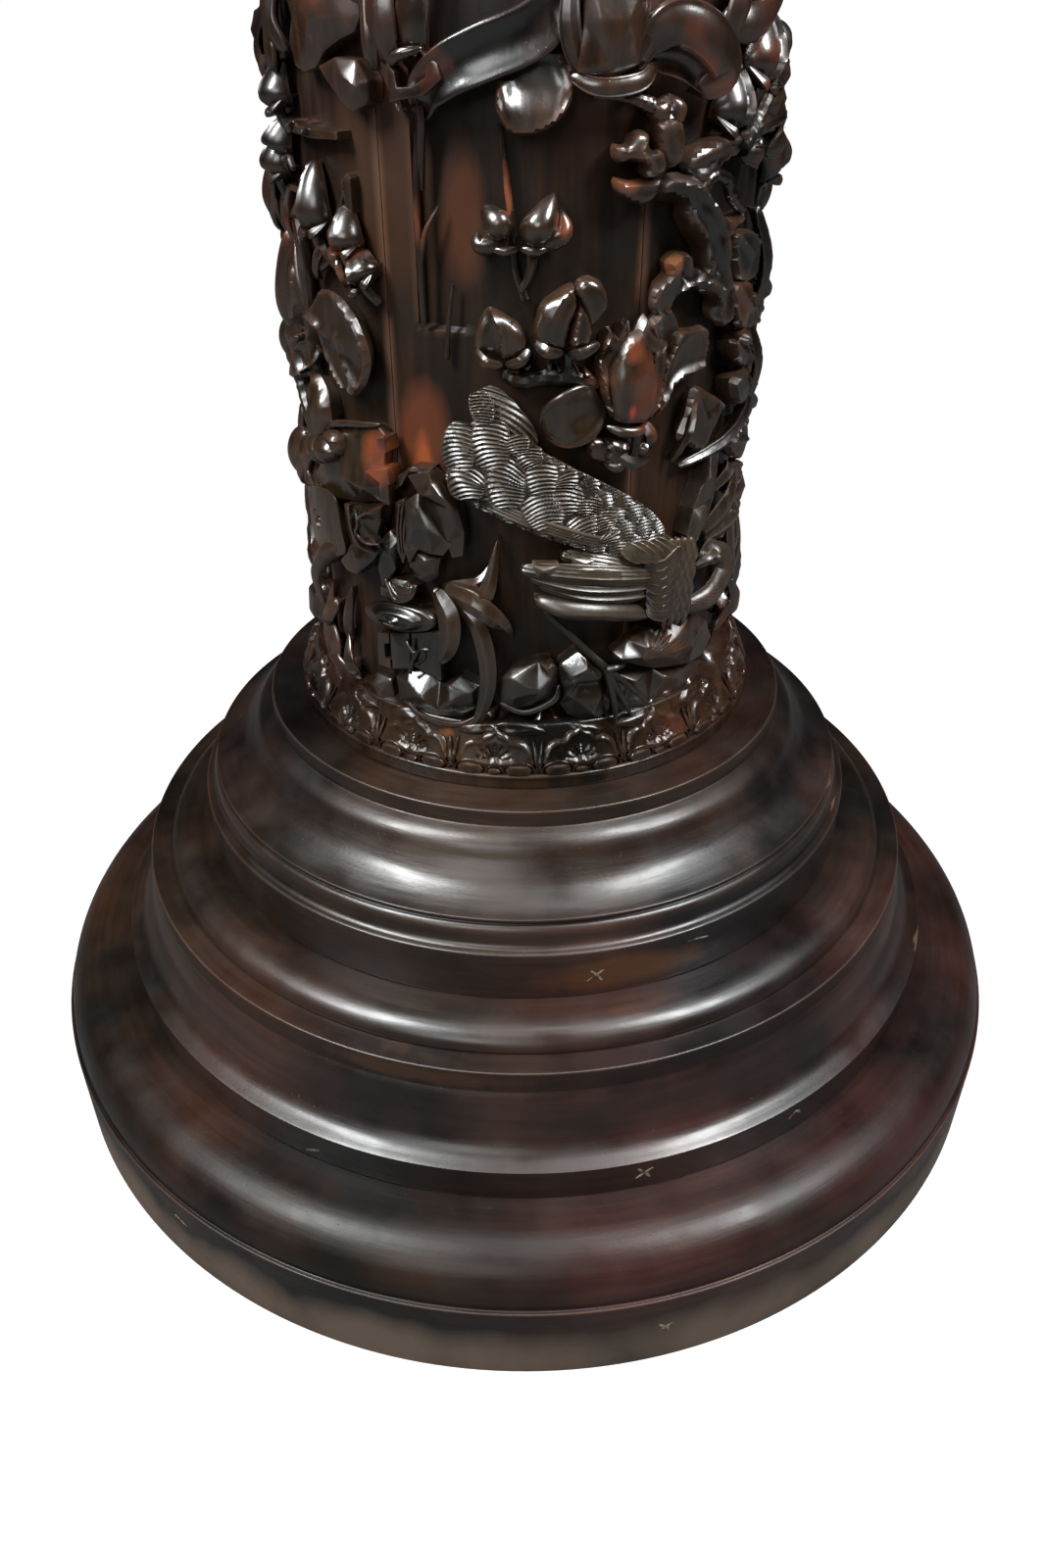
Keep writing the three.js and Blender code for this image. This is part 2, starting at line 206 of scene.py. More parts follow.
# Places of wear, and on the turned wood a painted reflection of the floor: each one's middle, its reach
# right, back and up, and its colour.
turnedLook = {
    "dark": (0.002, 0.0012, 0.001),
    "brown": (0.019, 0.0082, 0.0053),
    "edge": (0.1, 0.056, 0.038),
    "edge wear and painted highlight": 0.6,
    "rough": (0.29, 0.46),
    "coat": 0.08,
    "gloss": 0.42,
    "tint": 0.0,
    "turned": True,
    "wear_and_painted_light": [((60, -190, 172), (110, 60, 22), (0.05, 0.019, 0.006)),
             ((-60, -232, 141), (120, 60, 12), (0.03, 0.013, 0.006)),
             ((210, -200, 55), (90, 90, 40), (0.022, 0.008, 0.0085)),
             # A lighter band round the foot of the plinth: a painted reflection of the bright floor.
             ((0, 0, 10), (900, 900, 54), (0.085, 0.06, 0.042))],
}
plinthLook = {
    **turnedLook,
    "rough": (0.32, 0.5),
    "coat": 0.02,
    "gloss": 0.24,
}
carvedLook = {
    "dark": (0.0018, 0.0011, 0.0008),
    "brown": (0.026, 0.0112, 0.0054),
    "edge": (0.1, 0.05, 0.03),
    "edge wear and painted highlight": 0.22,
    "rough": (0.19, 0.4),
    "coat": 0.16,
    "gloss": 0.78,
    "grain": (34, 34, 7),
    "tint": 0.6,
    "turned": False,
    "wear_and_painted_light": [((46, -112, 456), (10, 12, 12), (0.1, 0.026, 0.01)),
             ((46, -112, 430), (3.5, 12, 8), (0.19, 0.02, 0.006)),
             ((-66, -98, 404), (20, 20, 24), (0.13, 0.03, 0.009)),
             ((16, -118, 505), (9, 12, 9), (0.11, 0.03, 0.012)),
             ((-80, -85, 482), (12, 14, 12), (0.1, 0.04, 0.018)),
             ((-38, -105, 268), (14, 22, 7), (0.14, 0.05, 0.012)),
             ((40, -112, 520), (14, 14, 9), (0.11, 0.035, 0.013)),
             ((60, -105, 487), (12, 14, 9), (0.1, 0.034, 0.013)),
             ((-7, -112, 512), (4, 12, 30), (0.16, 0.045, 0.018))],
}
wallLook = {
    "dark": (0.0045, 0.0025, 0.0017),
    "brown": (0.022, 0.0078, 0.0038),
    "edge": (0.1, 0.05, 0.03),
    "edge wear and painted highlight": 0.6,
    "rough": (0.4, 0.56),
    "coat": 0.0,
    "gloss": 0.24,
    "grain": (30, 30, 3.5),
    "tint": 0.0,
    "turned": False,
    "wear_and_painted_light": [((-46, -100, 412), (24, 34, 46), (0.07, 0.019, 0.007)),
             ((-46, -100, 404), (9, 30, 28), (0.2, 0.045, 0.011)),
             ((-62, -90, 520), (44, 34, 80), (0.026, 0.011, 0.005)),
             ((-25, -106, 505), (24, 30, 50), (0.045, 0.0145, 0.006)),
             ((16, -108, 440), (60, 30, 50), (0.02, 0.009, 0.0055))],
}
featherLook = {
    **carvedLook,
    "dark": (0.0035, 0.0025, 0.002),
    "brown": (0.024, 0.0135, 0.0085),
    "edge": (0.16, 0.115, 0.085),
    "edge wear and painted highlight": 0.4,
    "rough": (0.26, 0.44),
    "coat": 0.04,
    "gloss": 0.66,
    "tint": 0.15,
}
borderLook = {
    **carvedLook,
    "edge wear and painted highlight": 0.12,
    "coat": 0.03,
    "gloss": 0.34,
    "tint": 0.2,
}
polish = {
    "cool": (0.95, 1.08, 0.8),      # the two ways that the wood's hue drifts
    "warm": (1.15, 0.92, 1.12),
    "red": (0.12, 0.032, 0.014),    # where the stain has worn through
    "edges": (0.51, 0.58),          # how pointed an edge is where its pale colour (wear, and a painted highlight) starts, and where it is full
    "painted_shade_hollows": (0.3, 0.43),         # how pointed a hollow is where its painted shade is darkest, and where the shade ends
    "pores": 95,
    "specular": (0.97, 1, 1),
    "coat rough": 0.16,
}


# Dark polished hardwood: streaked grain, brown patches, pale edges (wear, and a painted highlight), painted
# shade in hollows, pores and dents.
def hardwood(name, look):
    material, tree, shader = nodeTree(name)
    patches = ramp(tree, noiseAt(tree, 9, 5), [(0.42, grey(0)), (0.68, grey(1))])
    colour = mixed(tree, patches, look["dark"], look["brown"])
    drift = [(0.38, polish["cool"]), (0.5, grey(1)), (0.62, polish["warm"])]
    colour = mixed(tree, 1.0, colour, ramp(tree, noiseAt(tree, 3.2, 3), drift), "MULTIPLY")
    lines = turnedNoise(tree, 260, 5) if look["turned"] else noiseAt(tree, 6, 6, look["grain"])
    faint = 0.18 if look["turned"] else 0.4
    streaks = ramp(tree, lines, [(0.35, grey(1 - faint)), (0.65, grey(1 + faint))])
    colour = mixed(tree, 1.0, colour, streaks, "MULTIPLY")
    if look["tint"]:
        warm = ramp(tree, noiseAt(tree, 26, 2), [(0.62, grey(0)), (0.76, grey(look["tint"]))])
        colour = mixed(tree, warm, colour, polish["red"])
    for place, reach, shade in look["wear_and_painted_light"]:
        colour = mixed(tree, nearness(tree, place, reach), colour, shade)
    pointed = added(tree, "NewGeometry").outputs["Pointiness"]
    start, end = polish["edges"]
    # Pale colour on sharp edges: wear, and a painted highlight.
    wear_and_painted_light = ramp(tree, pointed, [(start, grey(0)), (end, grey(look["edge wear and painted highlight"]))])
    colour = mixed(tree, wear_and_painted_light, colour, look["edge"])
    # Painted shade: the colour darkens in hollows and creases.
    deep, shallow = polish["painted_shade_hollows"]
    hollow = ramp(tree, pointed, [(deep, grey(0.15)), (shallow, grey(1))])
    colour = mixed(tree, 1.0, colour, hollow, "MULTIPLY")
    low, high = look["rough"]
    sheen = ramp(tree, noiseAt(tree, 38, 5), [(0.3, grey(low)), (0.7, grey(high))])
    pores = added(tree, "TexVoronoi", {"Scale": polish["pores"]})
    pits = ramp(tree, pores.outputs["Distance"], [(0.03, grey(0)), (0.1, grey(1))])
    normal = bumped(tree, lines, 0.0003, 0.5)
    normal = bumped(tree, noiseAt(tree, 420, 3), 0.00012, 0.4, normal)
    normal = bumped(tree, pits, 0.0003, 0.35, normal)
    fill(tree, shader, {
        "Base Color": colour,
        "Roughness": sheen,
        "Normal": normal,
        # Painted shade: the reflections are dimmed in hollows and creases.
        "Specular IOR Level": ramp(tree, pointed, [(deep, grey(0.05)), (shallow, grey(look["gloss"]))]),
        "Specular Tint": polish["specular"],
        "Coat Weight": look["coat"],
        "Coat Roughness": polish["coat rough"],
    })
    return material


def plainWood(name):
    material, tree, shader = nodeTree(name)
    grain = ramp(tree, noiseAt(tree, 9, 6, (9, 9, 1)), [(0.3, (0.1, 0.045, 0.022)),
                                                        (0.7, (0.2, 0.1, 0.05))])
    fibres = bumped(tree, noiseAt(tree, 60, 4, (6, 6, 1)), 0.0003)
    fill(tree, shader, {"Base Color": grain, "Roughness": 0.65, "Normal": fibres})
    return material


def darkIron(name):
    material, tree, shader = nodeTree(name)
    scale = ramp(tree, noiseAt(tree, 60, 5), [(0.35, (0.05, 0.045, 0.04)), (0.7, (0.13, 0.1, 0.08))])
    sheen = ramp(tree, noiseAt(tree, 90, 3), [(0.3, grey(0.4)), (0.7, grey(0.7))])
    skin = bumped(tree, noiseAt(tree, 150, 3), 0.0003)
    fill(tree, shader, {"Base Color": scale, "Roughness": sheen, "Metallic": 0.9, "Normal": skin})
    return material


# White paper: it takes the object's shadow close by and is plain white further out.
def floorLook(name):
    material, tree, shader = nodeTree(name)
    low, high = studio["paper"]
    paper = ramp(tree, noiseAt(tree, 3, 2), [(0.3, grey(low)), (0.7, grey(high))])
    path = added(tree, "LightPath").outputs
    dim = mixed(tree, path["Is Glossy Ray"], grey(studio["bounce"]), grey(studio["mirrored"]))
    fill(tree, shader, {"Base Color": mixed(tree, path["Is Camera Ray"], dim, paper), "Roughness": 0.9})
    near, far = studio["fade"]
    reach = added(tree, "VectorMath", {0: added(tree, "TexCoord").outputs["Object"]}, operation="LENGTH")
    fade = added(tree, "MapRange", {"Value": reach.outputs["Value"], "From Min": near, "From Max": far,
                                    "To Min": studio["fade from"]})
    share = added(tree, "Math", {0: fade.outputs[0], 1: path["Is Camera Ray"]}, operation="MULTIPLY")
    plain = added(tree, "Emission")
    mix = added(tree, "MixShader", {0: share.outputs[0], 1: shader.outputs[0], 2: plain.outputs[0]})
    tree.links.new(mix.outputs[0], tree.nodes["Material Output"].inputs["Surface"])
    return material


print("woods and iron")
turnedWood = hardwood("turned hardwood", turnedLook)
plinthWood = hardwood("plinth hardwood", plinthLook)
carvedWood = hardwood("carved hardwood", carvedLook)
wallWood = hardwood("shaft hardwood", wallLook)
featherWood = hardwood("feather hardwood", featherLook)
borderWood = hardwood("border hardwood", borderLook)
innerWood = plainWood("inner wood")
ironLook = darkIron("dark iron")


# A piece made of closed shells, in millimetres.
class Shells:
    def __init__(self):
        self.points = []
        self.faces = []
        self.count = 0

    def add(self, points, faces):
        points = np.asarray(points, float).reshape(-1, 3)
        self.points.append(points)
        self.faces.extend([[i + self.count for i in face] for face in faces])
        self.count += len(points)

    def piece(self, name, material, slot, nodes=(), sharp=32):
        mesh = bpy.data.meshes.new(name)
        mesh.from_pydata(np.vstack(self.points) * mm, [], self.faces)
        mesh.shade_smooth()
        mesh.set_sharp_from_angle(angle=math.radians(sharp))
        mesh.materials.append(material)
        thing = bpy.data.objects.new(name, mesh)
        bpy.context.collection.objects.link(thing)
        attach(thing, "root")
        if nodes:
            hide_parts(*nodes)
        return thing


# Faces of a grid of rows by columns of points, joined up along its columns if it is a ring.
def gridFaces(rows, cols, start=0, ring=False, flip=False):
    faces = []
    last = cols if ring else cols - 1
    for i in range(rows - 1):
        for j in range(last):
            k = (j + 1) % cols
            a, b, c, d = (i * cols + j, i * cols + k, (i + 1) * cols + k, (i + 1) * cols + j)
            quad = [start + a, start + b, start + c, start + d]
            faces.append(quad[::-1] if flip else quad)
    return faces


# Faces of a closed sheet: a front grid of points, a back one after it, and a strip round their border.
def sheetFaces(rows, cols):
    count = rows * cols
    faces = gridFaces(rows, cols) + gridFaces(rows, cols, count, flip=True)
    border = list(range(cols)) + [i * cols + cols - 1 for i in range(1, rows)]
    border += [(rows - 1) * cols + j for j in range(cols - 2, -1, -1)]
    border += [i * cols for i in range(rows - 2, 0, -1)]
    for i, a in enumerate(border):
        b = border[(i + 1) % len(border)]
        faces.append([b, a, a + count, b + count])
    return faces


# A point between the second and the third of four that a smooth curve passes through.
def between(a, b, c, d, t):
    return 0.5 * (2 * b + (c - a) * t + (2 * a - 5 * b + 4 * c - d) * t**2 + (3 * b - a - 3 * c + d) * t**3)


# Points of a smooth curve through the given ones, at shares of its way.
def smoothCurve(knots, shares):
    knots = np.atleast_2d(np.asarray(knots, float))
    if knots.shape[0] == 1:
        knots = knots.T
    if len(knots) == 2:
        return knots[0] + (knots[1] - knots[0]) * np.asarray(shares)[:, None]
    ends = np.vstack([2 * knots[0] - knots[1], knots, 2 * knots[-1] - knots[-2]])
    spot = np.clip(np.asarray(shares) * (len(knots) - 1), 0, len(knots) - 1 - 1e-9)
    i = spot.astype(int)
    t = (spot - i)[:, None]
    return between(ends[i], ends[i + 1], ends[i + 2], ends[i + 3], t)


# A smooth closed outline through the given corners, with a point every so many millimetres.
def closedCurve(knots, pitch):
    knots = np.asarray(knots, float)
    count = len(knots)
    points = []
    for i in range(count):
        a, b, c, d = (knots[(i + k) % count] for k in (-1, 0, 1, 2))
        steps = max(1, int(np.hypot(*(c - b)) / pitch))
        points += [between(a, b, c, d, t) for t in np.arange(steps) / steps]
    return np.array(points)


# Distance of each point from a path, and on which side of it the point lies.
def pathDistance(points, path):
    path = np.asarray(path, float)
    start, run = path[:-1], path[1:] - path[:-1]
    gap = points[:, None, :] - start
    share = np.clip((gap * run).sum(2) / ((run**2).sum(1) + 1e-9), 0, 1)
    gap = gap - share[..., None] * run
    far = np.hypot(gap[..., 0], gap[..., 1])
    near = far.argmin(1)
    rows = np.arange(len(points))
    side = np.sign(run[near, 0] * gap[rows, near, 1] - run[near, 1] * gap[rows, near, 0])
    return far[rows, near], side


def insideOutline(points, ring):
    x, y = points[:, 0][:, None], points[:, 1][:, None]
    a, b = ring, np.roll(ring, -1, axis=0)
    crosses = (a[:, 1] > y) != (b[:, 1] > y)
    at = a[:, 0] + (y - a[:, 1]) * (b[:, 0] - a[:, 0]) / (b[:, 1] - a[:, 1] + 1e-12)
    return (crosses & (x < at)).sum(1) % 2 == 1


# Soft random values between -1 and 1 over the plane, as sums of waves.
def ripple(x, y, scale, seed=0, waves=5):
    maker = np.random.default_rng(seed)
    total = np.zeros(np.broadcast(x, y).shape)
    for _ in range(waves):
        turn, phase, pitch = maker.uniform(0, 6.28, 3)
        size = scale * (0.6 + pitch / 8)
        total = total + np.sin((x * math.cos(turn) + y * math.sin(turn)) / size + phase)
    return total / waves


# Where a point that the camera sees on a cylinder of that radius lies at another depth.
def seenAt(angle, height, out):
    a = math.radians(angle)
    eye = Vector(view["at"])
    hit = Vector((seenRadius * math.sin(a), -seenRadius * math.cos(a), height))
    ray = (hit - eye).normalized()
    radius = wall + out
    qa = ray.x**2 + ray.y**2
    qb = 2 * (eye.x * ray.x + eye.y * ray.y)
    qc = eye.x**2 + eye.y**2 - radius**2
    inside = qb * qb - 4 * qa * qc
    if inside <= 0:
        return angle, height
    there = eye + ray * ((-qb - math.sqrt(inside)) / (2 * qa))
    return math.degrees(math.atan2(there.x, -there.y)), there.z


# The same as millimetres right, up and out of the unrolled wall.
def spot(angle, height, out):
    a, z = seenAt(angle, height, out)
    return a * mmPerDegree, z, out


# A whole path of such places, all at one height out.
def seen(path, out=8):
    return [spot(angle, height, out)[:2] for angle, height in path]


# Carvings are drawn flat, in millimetres right, up and out, and then wrapped on the shaft.
class Carving(Shells):
    def __init__(self, angle=0.0, height=0.0, turn=0.0, out=6.0, seen=False, radius=None):
        super().__init__()
        self.place(angle, height, turn, out, seen)
        self.radius = radius or (lambda z: wall)

    def place(self, angle, height, turn=0.0, out=6.0, seen=True):
        self.angle, self.height = seenAt(angle, height, out) if seen else (angle, height)
        self.turn = math.radians(turn)
        return self

    # Back to the middle of the front, where whole paths are drawn from.
    def home(self):
        return self.place(0, 0, seen=False)

    def wrap(self, points):
        points = np.asarray(points, float).reshape(-1, 3)
        c, s = math.cos(self.turn), math.sin(self.turn)
        u = points[:, 0] * c - points[:, 1] * s
        v = points[:, 0] * s + points[:, 1] * c
        z = self.height + v
        around = math.radians(self.angle) + u / (mmPerDegree * 180 / math.pi)
        r = self.radius(z) + points[:, 2]
        return np.column_stack([r * np.sin(around), -r * np.cos(around), z])

    def shell(self, points, faces):
        self.add(self.wrap(points), faces)

    # A form planed into flats: an outline, and points within it, each at its own height out.
    def planed(self, outline, within=(), rim=8.0, foot=0.0, ease=0.6):
        spots = [spot(*p) if len(p) == 3 else spot(*p, rim) for p in (*outline, *within)]
        count = len(outline)
        border = [(i, (i + 1) % count) for i in range(count)]
        found = delaunay_2d_cdt([Vector(p[:2]) for p in spots], border, [], 1, 1e-4)
        mesh = bmesh.new()
        lifts = [spots[found[3][i][0]][2] if found[3][i] else rim for i in range(len(found[0]))]
        top = [mesh.verts.new((v.x, v.y, w)) for v, w in zip(found[0], lifts)]
        low = [mesh.verts.new((v.x, v.y, foot)) for v in found[0]]
        for face in found[2]:
            mesh.faces.new([top[i] for i in face])
            mesh.faces.new([low[i] for i in reversed(face)])
        for edge in [e for e in mesh.edges if len(e.link_faces) == 1 and e.verts[0] in set(top)]:
            loop = edge.link_loops[0]
            i, j = top.index(loop.vert), top.index(loop.link_loop_next.vert)
            mesh.faces.new([top[j], top[i], low[i], low[j]])
        mesh.normal_update()
        crisp = [e for e in mesh.edges
                 if e.calc_face_angle(0) > 0.2 and max(v.co.z for v in e.verts) > foot + 1]
        bmesh.ops.bevel(mesh, geom=crisp, offset=ease, segments=2, affect="EDGES", profile=0.6,
                        clamp_overlap=True)
        self.refined(mesh, foot)
        self.shellOf(mesh)

    # A smooth form: a round-cornered outline, with its surface drawn to points, along lines and down steps.
    def moulded(self, outline, within=(), rim=8.0, foot=1.0, lines=(), steps=(), around=5.0, reach=4.0,
                pitch=1.8, side=0.55, uneven=0.2, tuck=2.5, traced=True):
        spotted = spot if traced else (lambda u, v, w: (u, v, w))
        ring = closedCurve([spotted(*p[:2], rim)[:2] for p in outline], pitch)
        low, high = ring.min(0), ring.max(0)
        rows = np.arange(low[1], high[1], pitch * 0.87)
        grid = [(x + (k % 2) * pitch / 2, y) for k,
                y in enumerate(rows) for x in np.arange(low[0], high[0], pitch)]
        grid = np.array(grid)
        loop = np.vstack([ring, ring[:1]])
        grid = grid[insideOutline(grid, ring)]
        grid = grid[pathDistance(grid, loop)[0] > pitch * 0.45]
        count = len(ring)
        border = [(i, (i + 1) % count) for i in range(count)]
        found = delaunay_2d_cdt([Vector(p) for p in np.vstack([ring, grid])], border, [], 1, 1e-4)
        points = np.array([tuple(v) for v in found[0]])
        weight = np.full(len(points), 0.03)
        height = weight * rim
        for place in within:
            u, v, w = spotted(*place)
            pull = np.exp(-((points[:, 0] - u) ** 2 + (points[:, 1] - v) ** 2) / (2 * around**2))
            weight = weight + pull
            height = height + pull * w
        height = height / weight
        for path, rise, width in lines:
            far = pathDistance(points, [spotted(*p, rim)[:2] for p in path])[0]
            height = height + rise * np.exp(-((far / width) ** 1.5))
        for path, drop in steps:
            far, way = pathDistance(points, [spotted(*p, rim)[:2] for p in path])
            height = height - abs(drop) * (way * np.sign(drop) < 0) * np.exp(-((far / 9) ** 2))
        height = height + uneven * ripple(points[:, 0], points[:, 1], 3.0,
                                          6) + uneven * ripple(*points.T, 8, 2)
        away = np.clip(pathDistance(points, loop)[0] / reach, 0, 1)
        height = foot + (height - foot) * (side + (1 - side) * np.sqrt(1 - (1 - away) ** 2))
        total = len(points)
        top = np.column_stack([points, height])
        middle = (low + high) / 2
        inward = 1 - tuck / (high - low).max() * 2
        under = np.column_stack([middle + (points - middle) * inward, np.full(total, foot - 0.5)])
        faces, edges = [], {}
        for face in found[2]:
            a, b, c = (points[i] for i in face)
            if (b[0] - a[0]) * (c[1] - a[1]) - (b[1] - a[1]) * (c[0] - a[0]) < 0:
                face = face[::-1]
            faces.append(list(face))
            faces.append([i + total for i in reversed(face)])
            for i, j in zip(face, (*face[1:], face[0])):
                edges[(i, j)] = (j, i)
        for (i, j), back in edges.items():
            if back not in edges:
                faces.append([j, i, i + total, j + total])
        self.shell(np.vstack([top, under]), faces)

    def refined(self, mesh, foot, step=2.6, uneven=0.28):
        for _ in range(4):
            long = [e for e in mesh.edges
                    if e.calc_length() > step and max(v.co.z for v in e.verts) > foot + 1]
            if not long:
                break
            bmesh.ops.subdivide_edges(mesh, edges=long, cuts=1)
            bmesh.ops.triangulate(mesh, faces=mesh.faces)
        for v in mesh.verts:
            if v.co.z > foot + 1:
                v.co.z += uneven * float(ripple(v.co.x, v.co.y, 2.4,
                                                5)) + 0.5 * float(ripple(v.co.x, v.co.y, 7, 8))

    def shellOf(self, mesh):
        bmesh.ops.triangulate(mesh, faces=mesh.faces)
        mesh.verts.index_update()
        points = [tuple(v.co) for v in mesh.verts]
        faces = [[v.index for v in f.verts] for f in mesh.faces]
        mesh.free()
        self.shell(points, faces)

    # A leaf, petal or feather along a path, with its height over the wall along the way. A cup lifts its
    # edges, a dome its whole face, a ridge its midline and a rim its margin.
    def leaf(self, path, lift, half, taper=(0.5, 0.7), cup=0.0, dome=0.0, ridge=0.0, thick=3.0, edge=0.7,
             rim=0.0, rows=22, cols=12, engrave=None, wave=0.0):
        share = (1 - np.cos(np.linspace(0, math.pi, rows + 1))) / 2
        middle = smoothCurve(path, share)
        rise = smoothCurve(lift, share)[:, 0]
        ahead = np.gradient(middle, axis=0)
        ahead /= np.linalg.norm(ahead, axis=1)[:, None] + 1e-9
        aside = np.column_stack([ahead[:, 1], -ahead[:, 0]])
        peak = taper[0] / (taper[0] + taper[1])
        widest = peak ** taper[0] * (1 - peak) ** taper[1]
        width = half * np.maximum((share ** taper[0]) * ((1 - share) ** taper[1]) / widest, 0.03)
        t = np.sin(np.linspace(-1, 1, cols + 1) * math.pi / 2)
        u = middle[:, 0][:, None] + aside[:, 0][:, None] * width[:, None] * t
        v = middle[:, 1][:, None] + aside[:, 1][:, None] * width[:, None] * t
        fullness = (width / half)[:, None]
        w = rise[:, None] + cup * t**2 * fullness + ridge * (1 - np.abs(t)) * fullness
        w = w + dome * np.sqrt(np.maximum(1 - t**2, 0)) * fullness
        w = w + rim * np.clip((np.abs(t) - 0.72) / 0.2, 0, 1) * fullness
        if wave:
            w = w + wave * t**2 * np.sin(share[:, None] * 17 + t * 2)
        if engrave:
            length = np.concatenate([[0], np.cumsum(np.linalg.norm(np.diff(middle, axis=0), axis=1))])
            w = w + engrave(length[:, None] + 0 * t, width[:, None] * t, share[:, None] + 0 * t, t + 0 * w)
        under = w - edge - (thick - edge) * (1 - t**2)
        under = np.minimum(np.maximum(under, -0.6), w - 0.35)
        w = np.maximum(w, -0.2)
        front = np.stack([u, v, w], -1).reshape(-1, 3)
        back = np.stack([u, v, np.minimum(under, w - 0.3)], -1).reshape(-1, 3)
        self.shell(np.vstack([front, back]), sheetFaces(rows + 1, cols + 1))

    # A branch, stem or toe through points right, up and out.
    def branch(self, path, radii, sides=9, rows=20, bark=0.0, seed=1, flat=1.0):
        share = np.linspace(0, 1, rows + 1)
        middle = smoothCurve(path, share)
        radius = smoothCurve(radii, share)[:, 0]
        ahead = np.gradient(middle, axis=0)
        ahead /= np.linalg.norm(ahead, axis=1)[:, None] + 1e-9
        side = np.cross(ahead, np.array([0, 0, 1.0]) + 0 * ahead)
        side /= np.linalg.norm(side, axis=1)[:, None] + 1e-6
        out = np.cross(side, ahead)
        turn = np.linspace(0, 2 * math.pi, sides, endpoint=False)
        rough = 1 + bark * ripple(share[:, None] * rows * 1.3, turn[None, :] * 2, 1.0, seed)
        r = radius[:, None] * rough
        ring = (middle[:, None, :] + side[:, None, :] * (r * np.cos(turn))[..., None]
                + out[:, None, :] * (r * np.sin(turn) * flat)[..., None])
        points = np.vstack([ring.reshape(-1, 3), middle[0] - ahead[0] * radius[0] * 0.4,
                            middle[-1] + ahead[-1] * radius[-1] * 0.4])
        faces = gridFaces(rows + 1, sides, ring=True)
        foot, tip = len(points) - 2, len(points) - 1
        for j in range(sides):
            k = (j + 1) % sides
            faces.append([foot, k, j])
            faces.append([tip, rows * sides + j, rows * sides + k])
        self.shell(points, faces)

    # The same along a path as the camera sees it, all at one height out.
    def stem(self, path, out, radii, **form):
        self.branch([(*p, out) for p in seen(path, out)], radii, **form)

    # A rock: the hull of points scattered over half an ellipsoid, with its edges eased.
    def rock(self, half, proud, seed=1, facets=16, at=(0, 0), ease=0.9):
        maker = np.random.default_rng(seed)
        turn = maker.uniform(0, 6.28, facets)
        rise = np.sqrt(maker.uniform(0, 1, facets))
        flat = np.sqrt(1 - rise**2 * 0.9)
        cloud = np.column_stack([half[0] * flat * np.cos(turn), half[1] * flat * np.sin(turn), proud * rise])
        spread = np.linspace(0, 6.28, 9, endpoint=False)
        foot = np.column_stack([half[0] * np.cos(spread), half[1] * np.sin(spread), 0 * spread - 0.5])
        foot[:, :2] *= maker.uniform(0.8, 1.0, (9, 1))
        mesh = bmesh.new()
        for x, y, z in np.vstack([cloud, foot]):
            mesh.verts.new((x + at[0], y + at[1], z))
        hull = bmesh.ops.convex_hull(mesh, input=mesh.verts)
        loose = [g for g in hull["geom_interior"] if isinstance(g, bmesh.types.BMVert)]
        bmesh.ops.delete(mesh, geom=loose, context="VERTS")
        bmesh.ops.bevel(mesh, geom=list(mesh.edges), offset=ease, segments=2, affect="EDGES", profile=0.5)
        self.refined(mesh, 0)
        self.shellOf(mesh)

    # A round lump: an egg, a knuckle or the body of a bird.
    def egg(self, half, proud, at=(0, 0, 0), rows=14, cols=22, engrave=None):
        ring = np.linspace(0, 2 * math.pi, cols, endpoint=False)
        rise = np.linspace(0, math.pi / 2, rows)
        points = []
        for a in rise[:-1]:
            x = half[0] * math.cos(a) * np.cos(ring)
            y = half[1] * math.cos(a) * np.sin(ring)
            z = at[2] + proud * math.sin(a) + 0 * ring
            if engrave:
                z = z + engrave(x, y)
            points.append(np.column_stack([at[0] + x, at[1] + y, z]))
        ends = np.array([[at[0], at[1], at[2] + proud], [at[0], at[1], at[2] - 0.3]])
        grid = np.vstack([*points, ends])
        faces = gridFaces(rows - 1, cols, ring=True)
        top, low = len(grid) - 2, len(grid) - 1
        for j in range(cols):
            k = (j + 1) % cols
            faces.append([(rows - 2) * cols + j, (rows - 2) * cols + k, top])
            faces.append([low, k, j])
        self.shell(grid, faces)


# Points of a quarter round from one corner to another, bulging outwards or hollow.
def quarter(first, last, bulging=True, steps=10):
    points = []
    for i in range(steps + 1):
        t = i / steps * math.pi / 2
        share = (1 - math.cos(t), math.sin(t)) if bulging else (math.sin(t), 1 - math.cos(t))
        points.append((first[0] + (last[0] - first[0]) * share[0],
                       first[1] + (last[1] - first[1]) * share[1]))
    return points


# The profile with each sharp corner worn round, over the given reach.
def eased(profile, reach=0.9, steps=4):
    points = []
    count = len(profile)
    for i in range(count):
        before, here, after = (Vector(profile[(i + k) % count]) for k in (-1, 0, 1))
        into, away = here - before, after - here
        if into.length < 1e-6 or away.length < 1e-6 or here.x < rodHole + 1 or into.angle(away) < 0.35:
            points.append(tuple(here))
            continue
        cut = min(reach, into.length * 0.45, away.length * 0.45)
        start, end = here - into.normalized() * cut, here + away.normalized() * cut
        for k in range(steps + 1):
            t = k / steps
            points.append(tuple(start * (1 - t) ** 2 + here * 2 * t * (1 - t) + end * t * t))
    return points


# Points near both ends of each straight run, and along it, so that the pale edge colour (wear, and a painted
# highlight) stays on the edge.
def finer(profile, near=1.0, apart=7.0):
    points = []
    for i, here in enumerate(profile):
        after = profile[(i + 1) % len(profile)]
        points.append(here)
        length = math.dist(here, after)
        if length > 4 * near:
            inner = np.linspace(near, length - near, 2 + int(length / apart))
            points += [tuple(np.array(here) + (np.array(after) - here) * d / length) for d in inner]
    return points


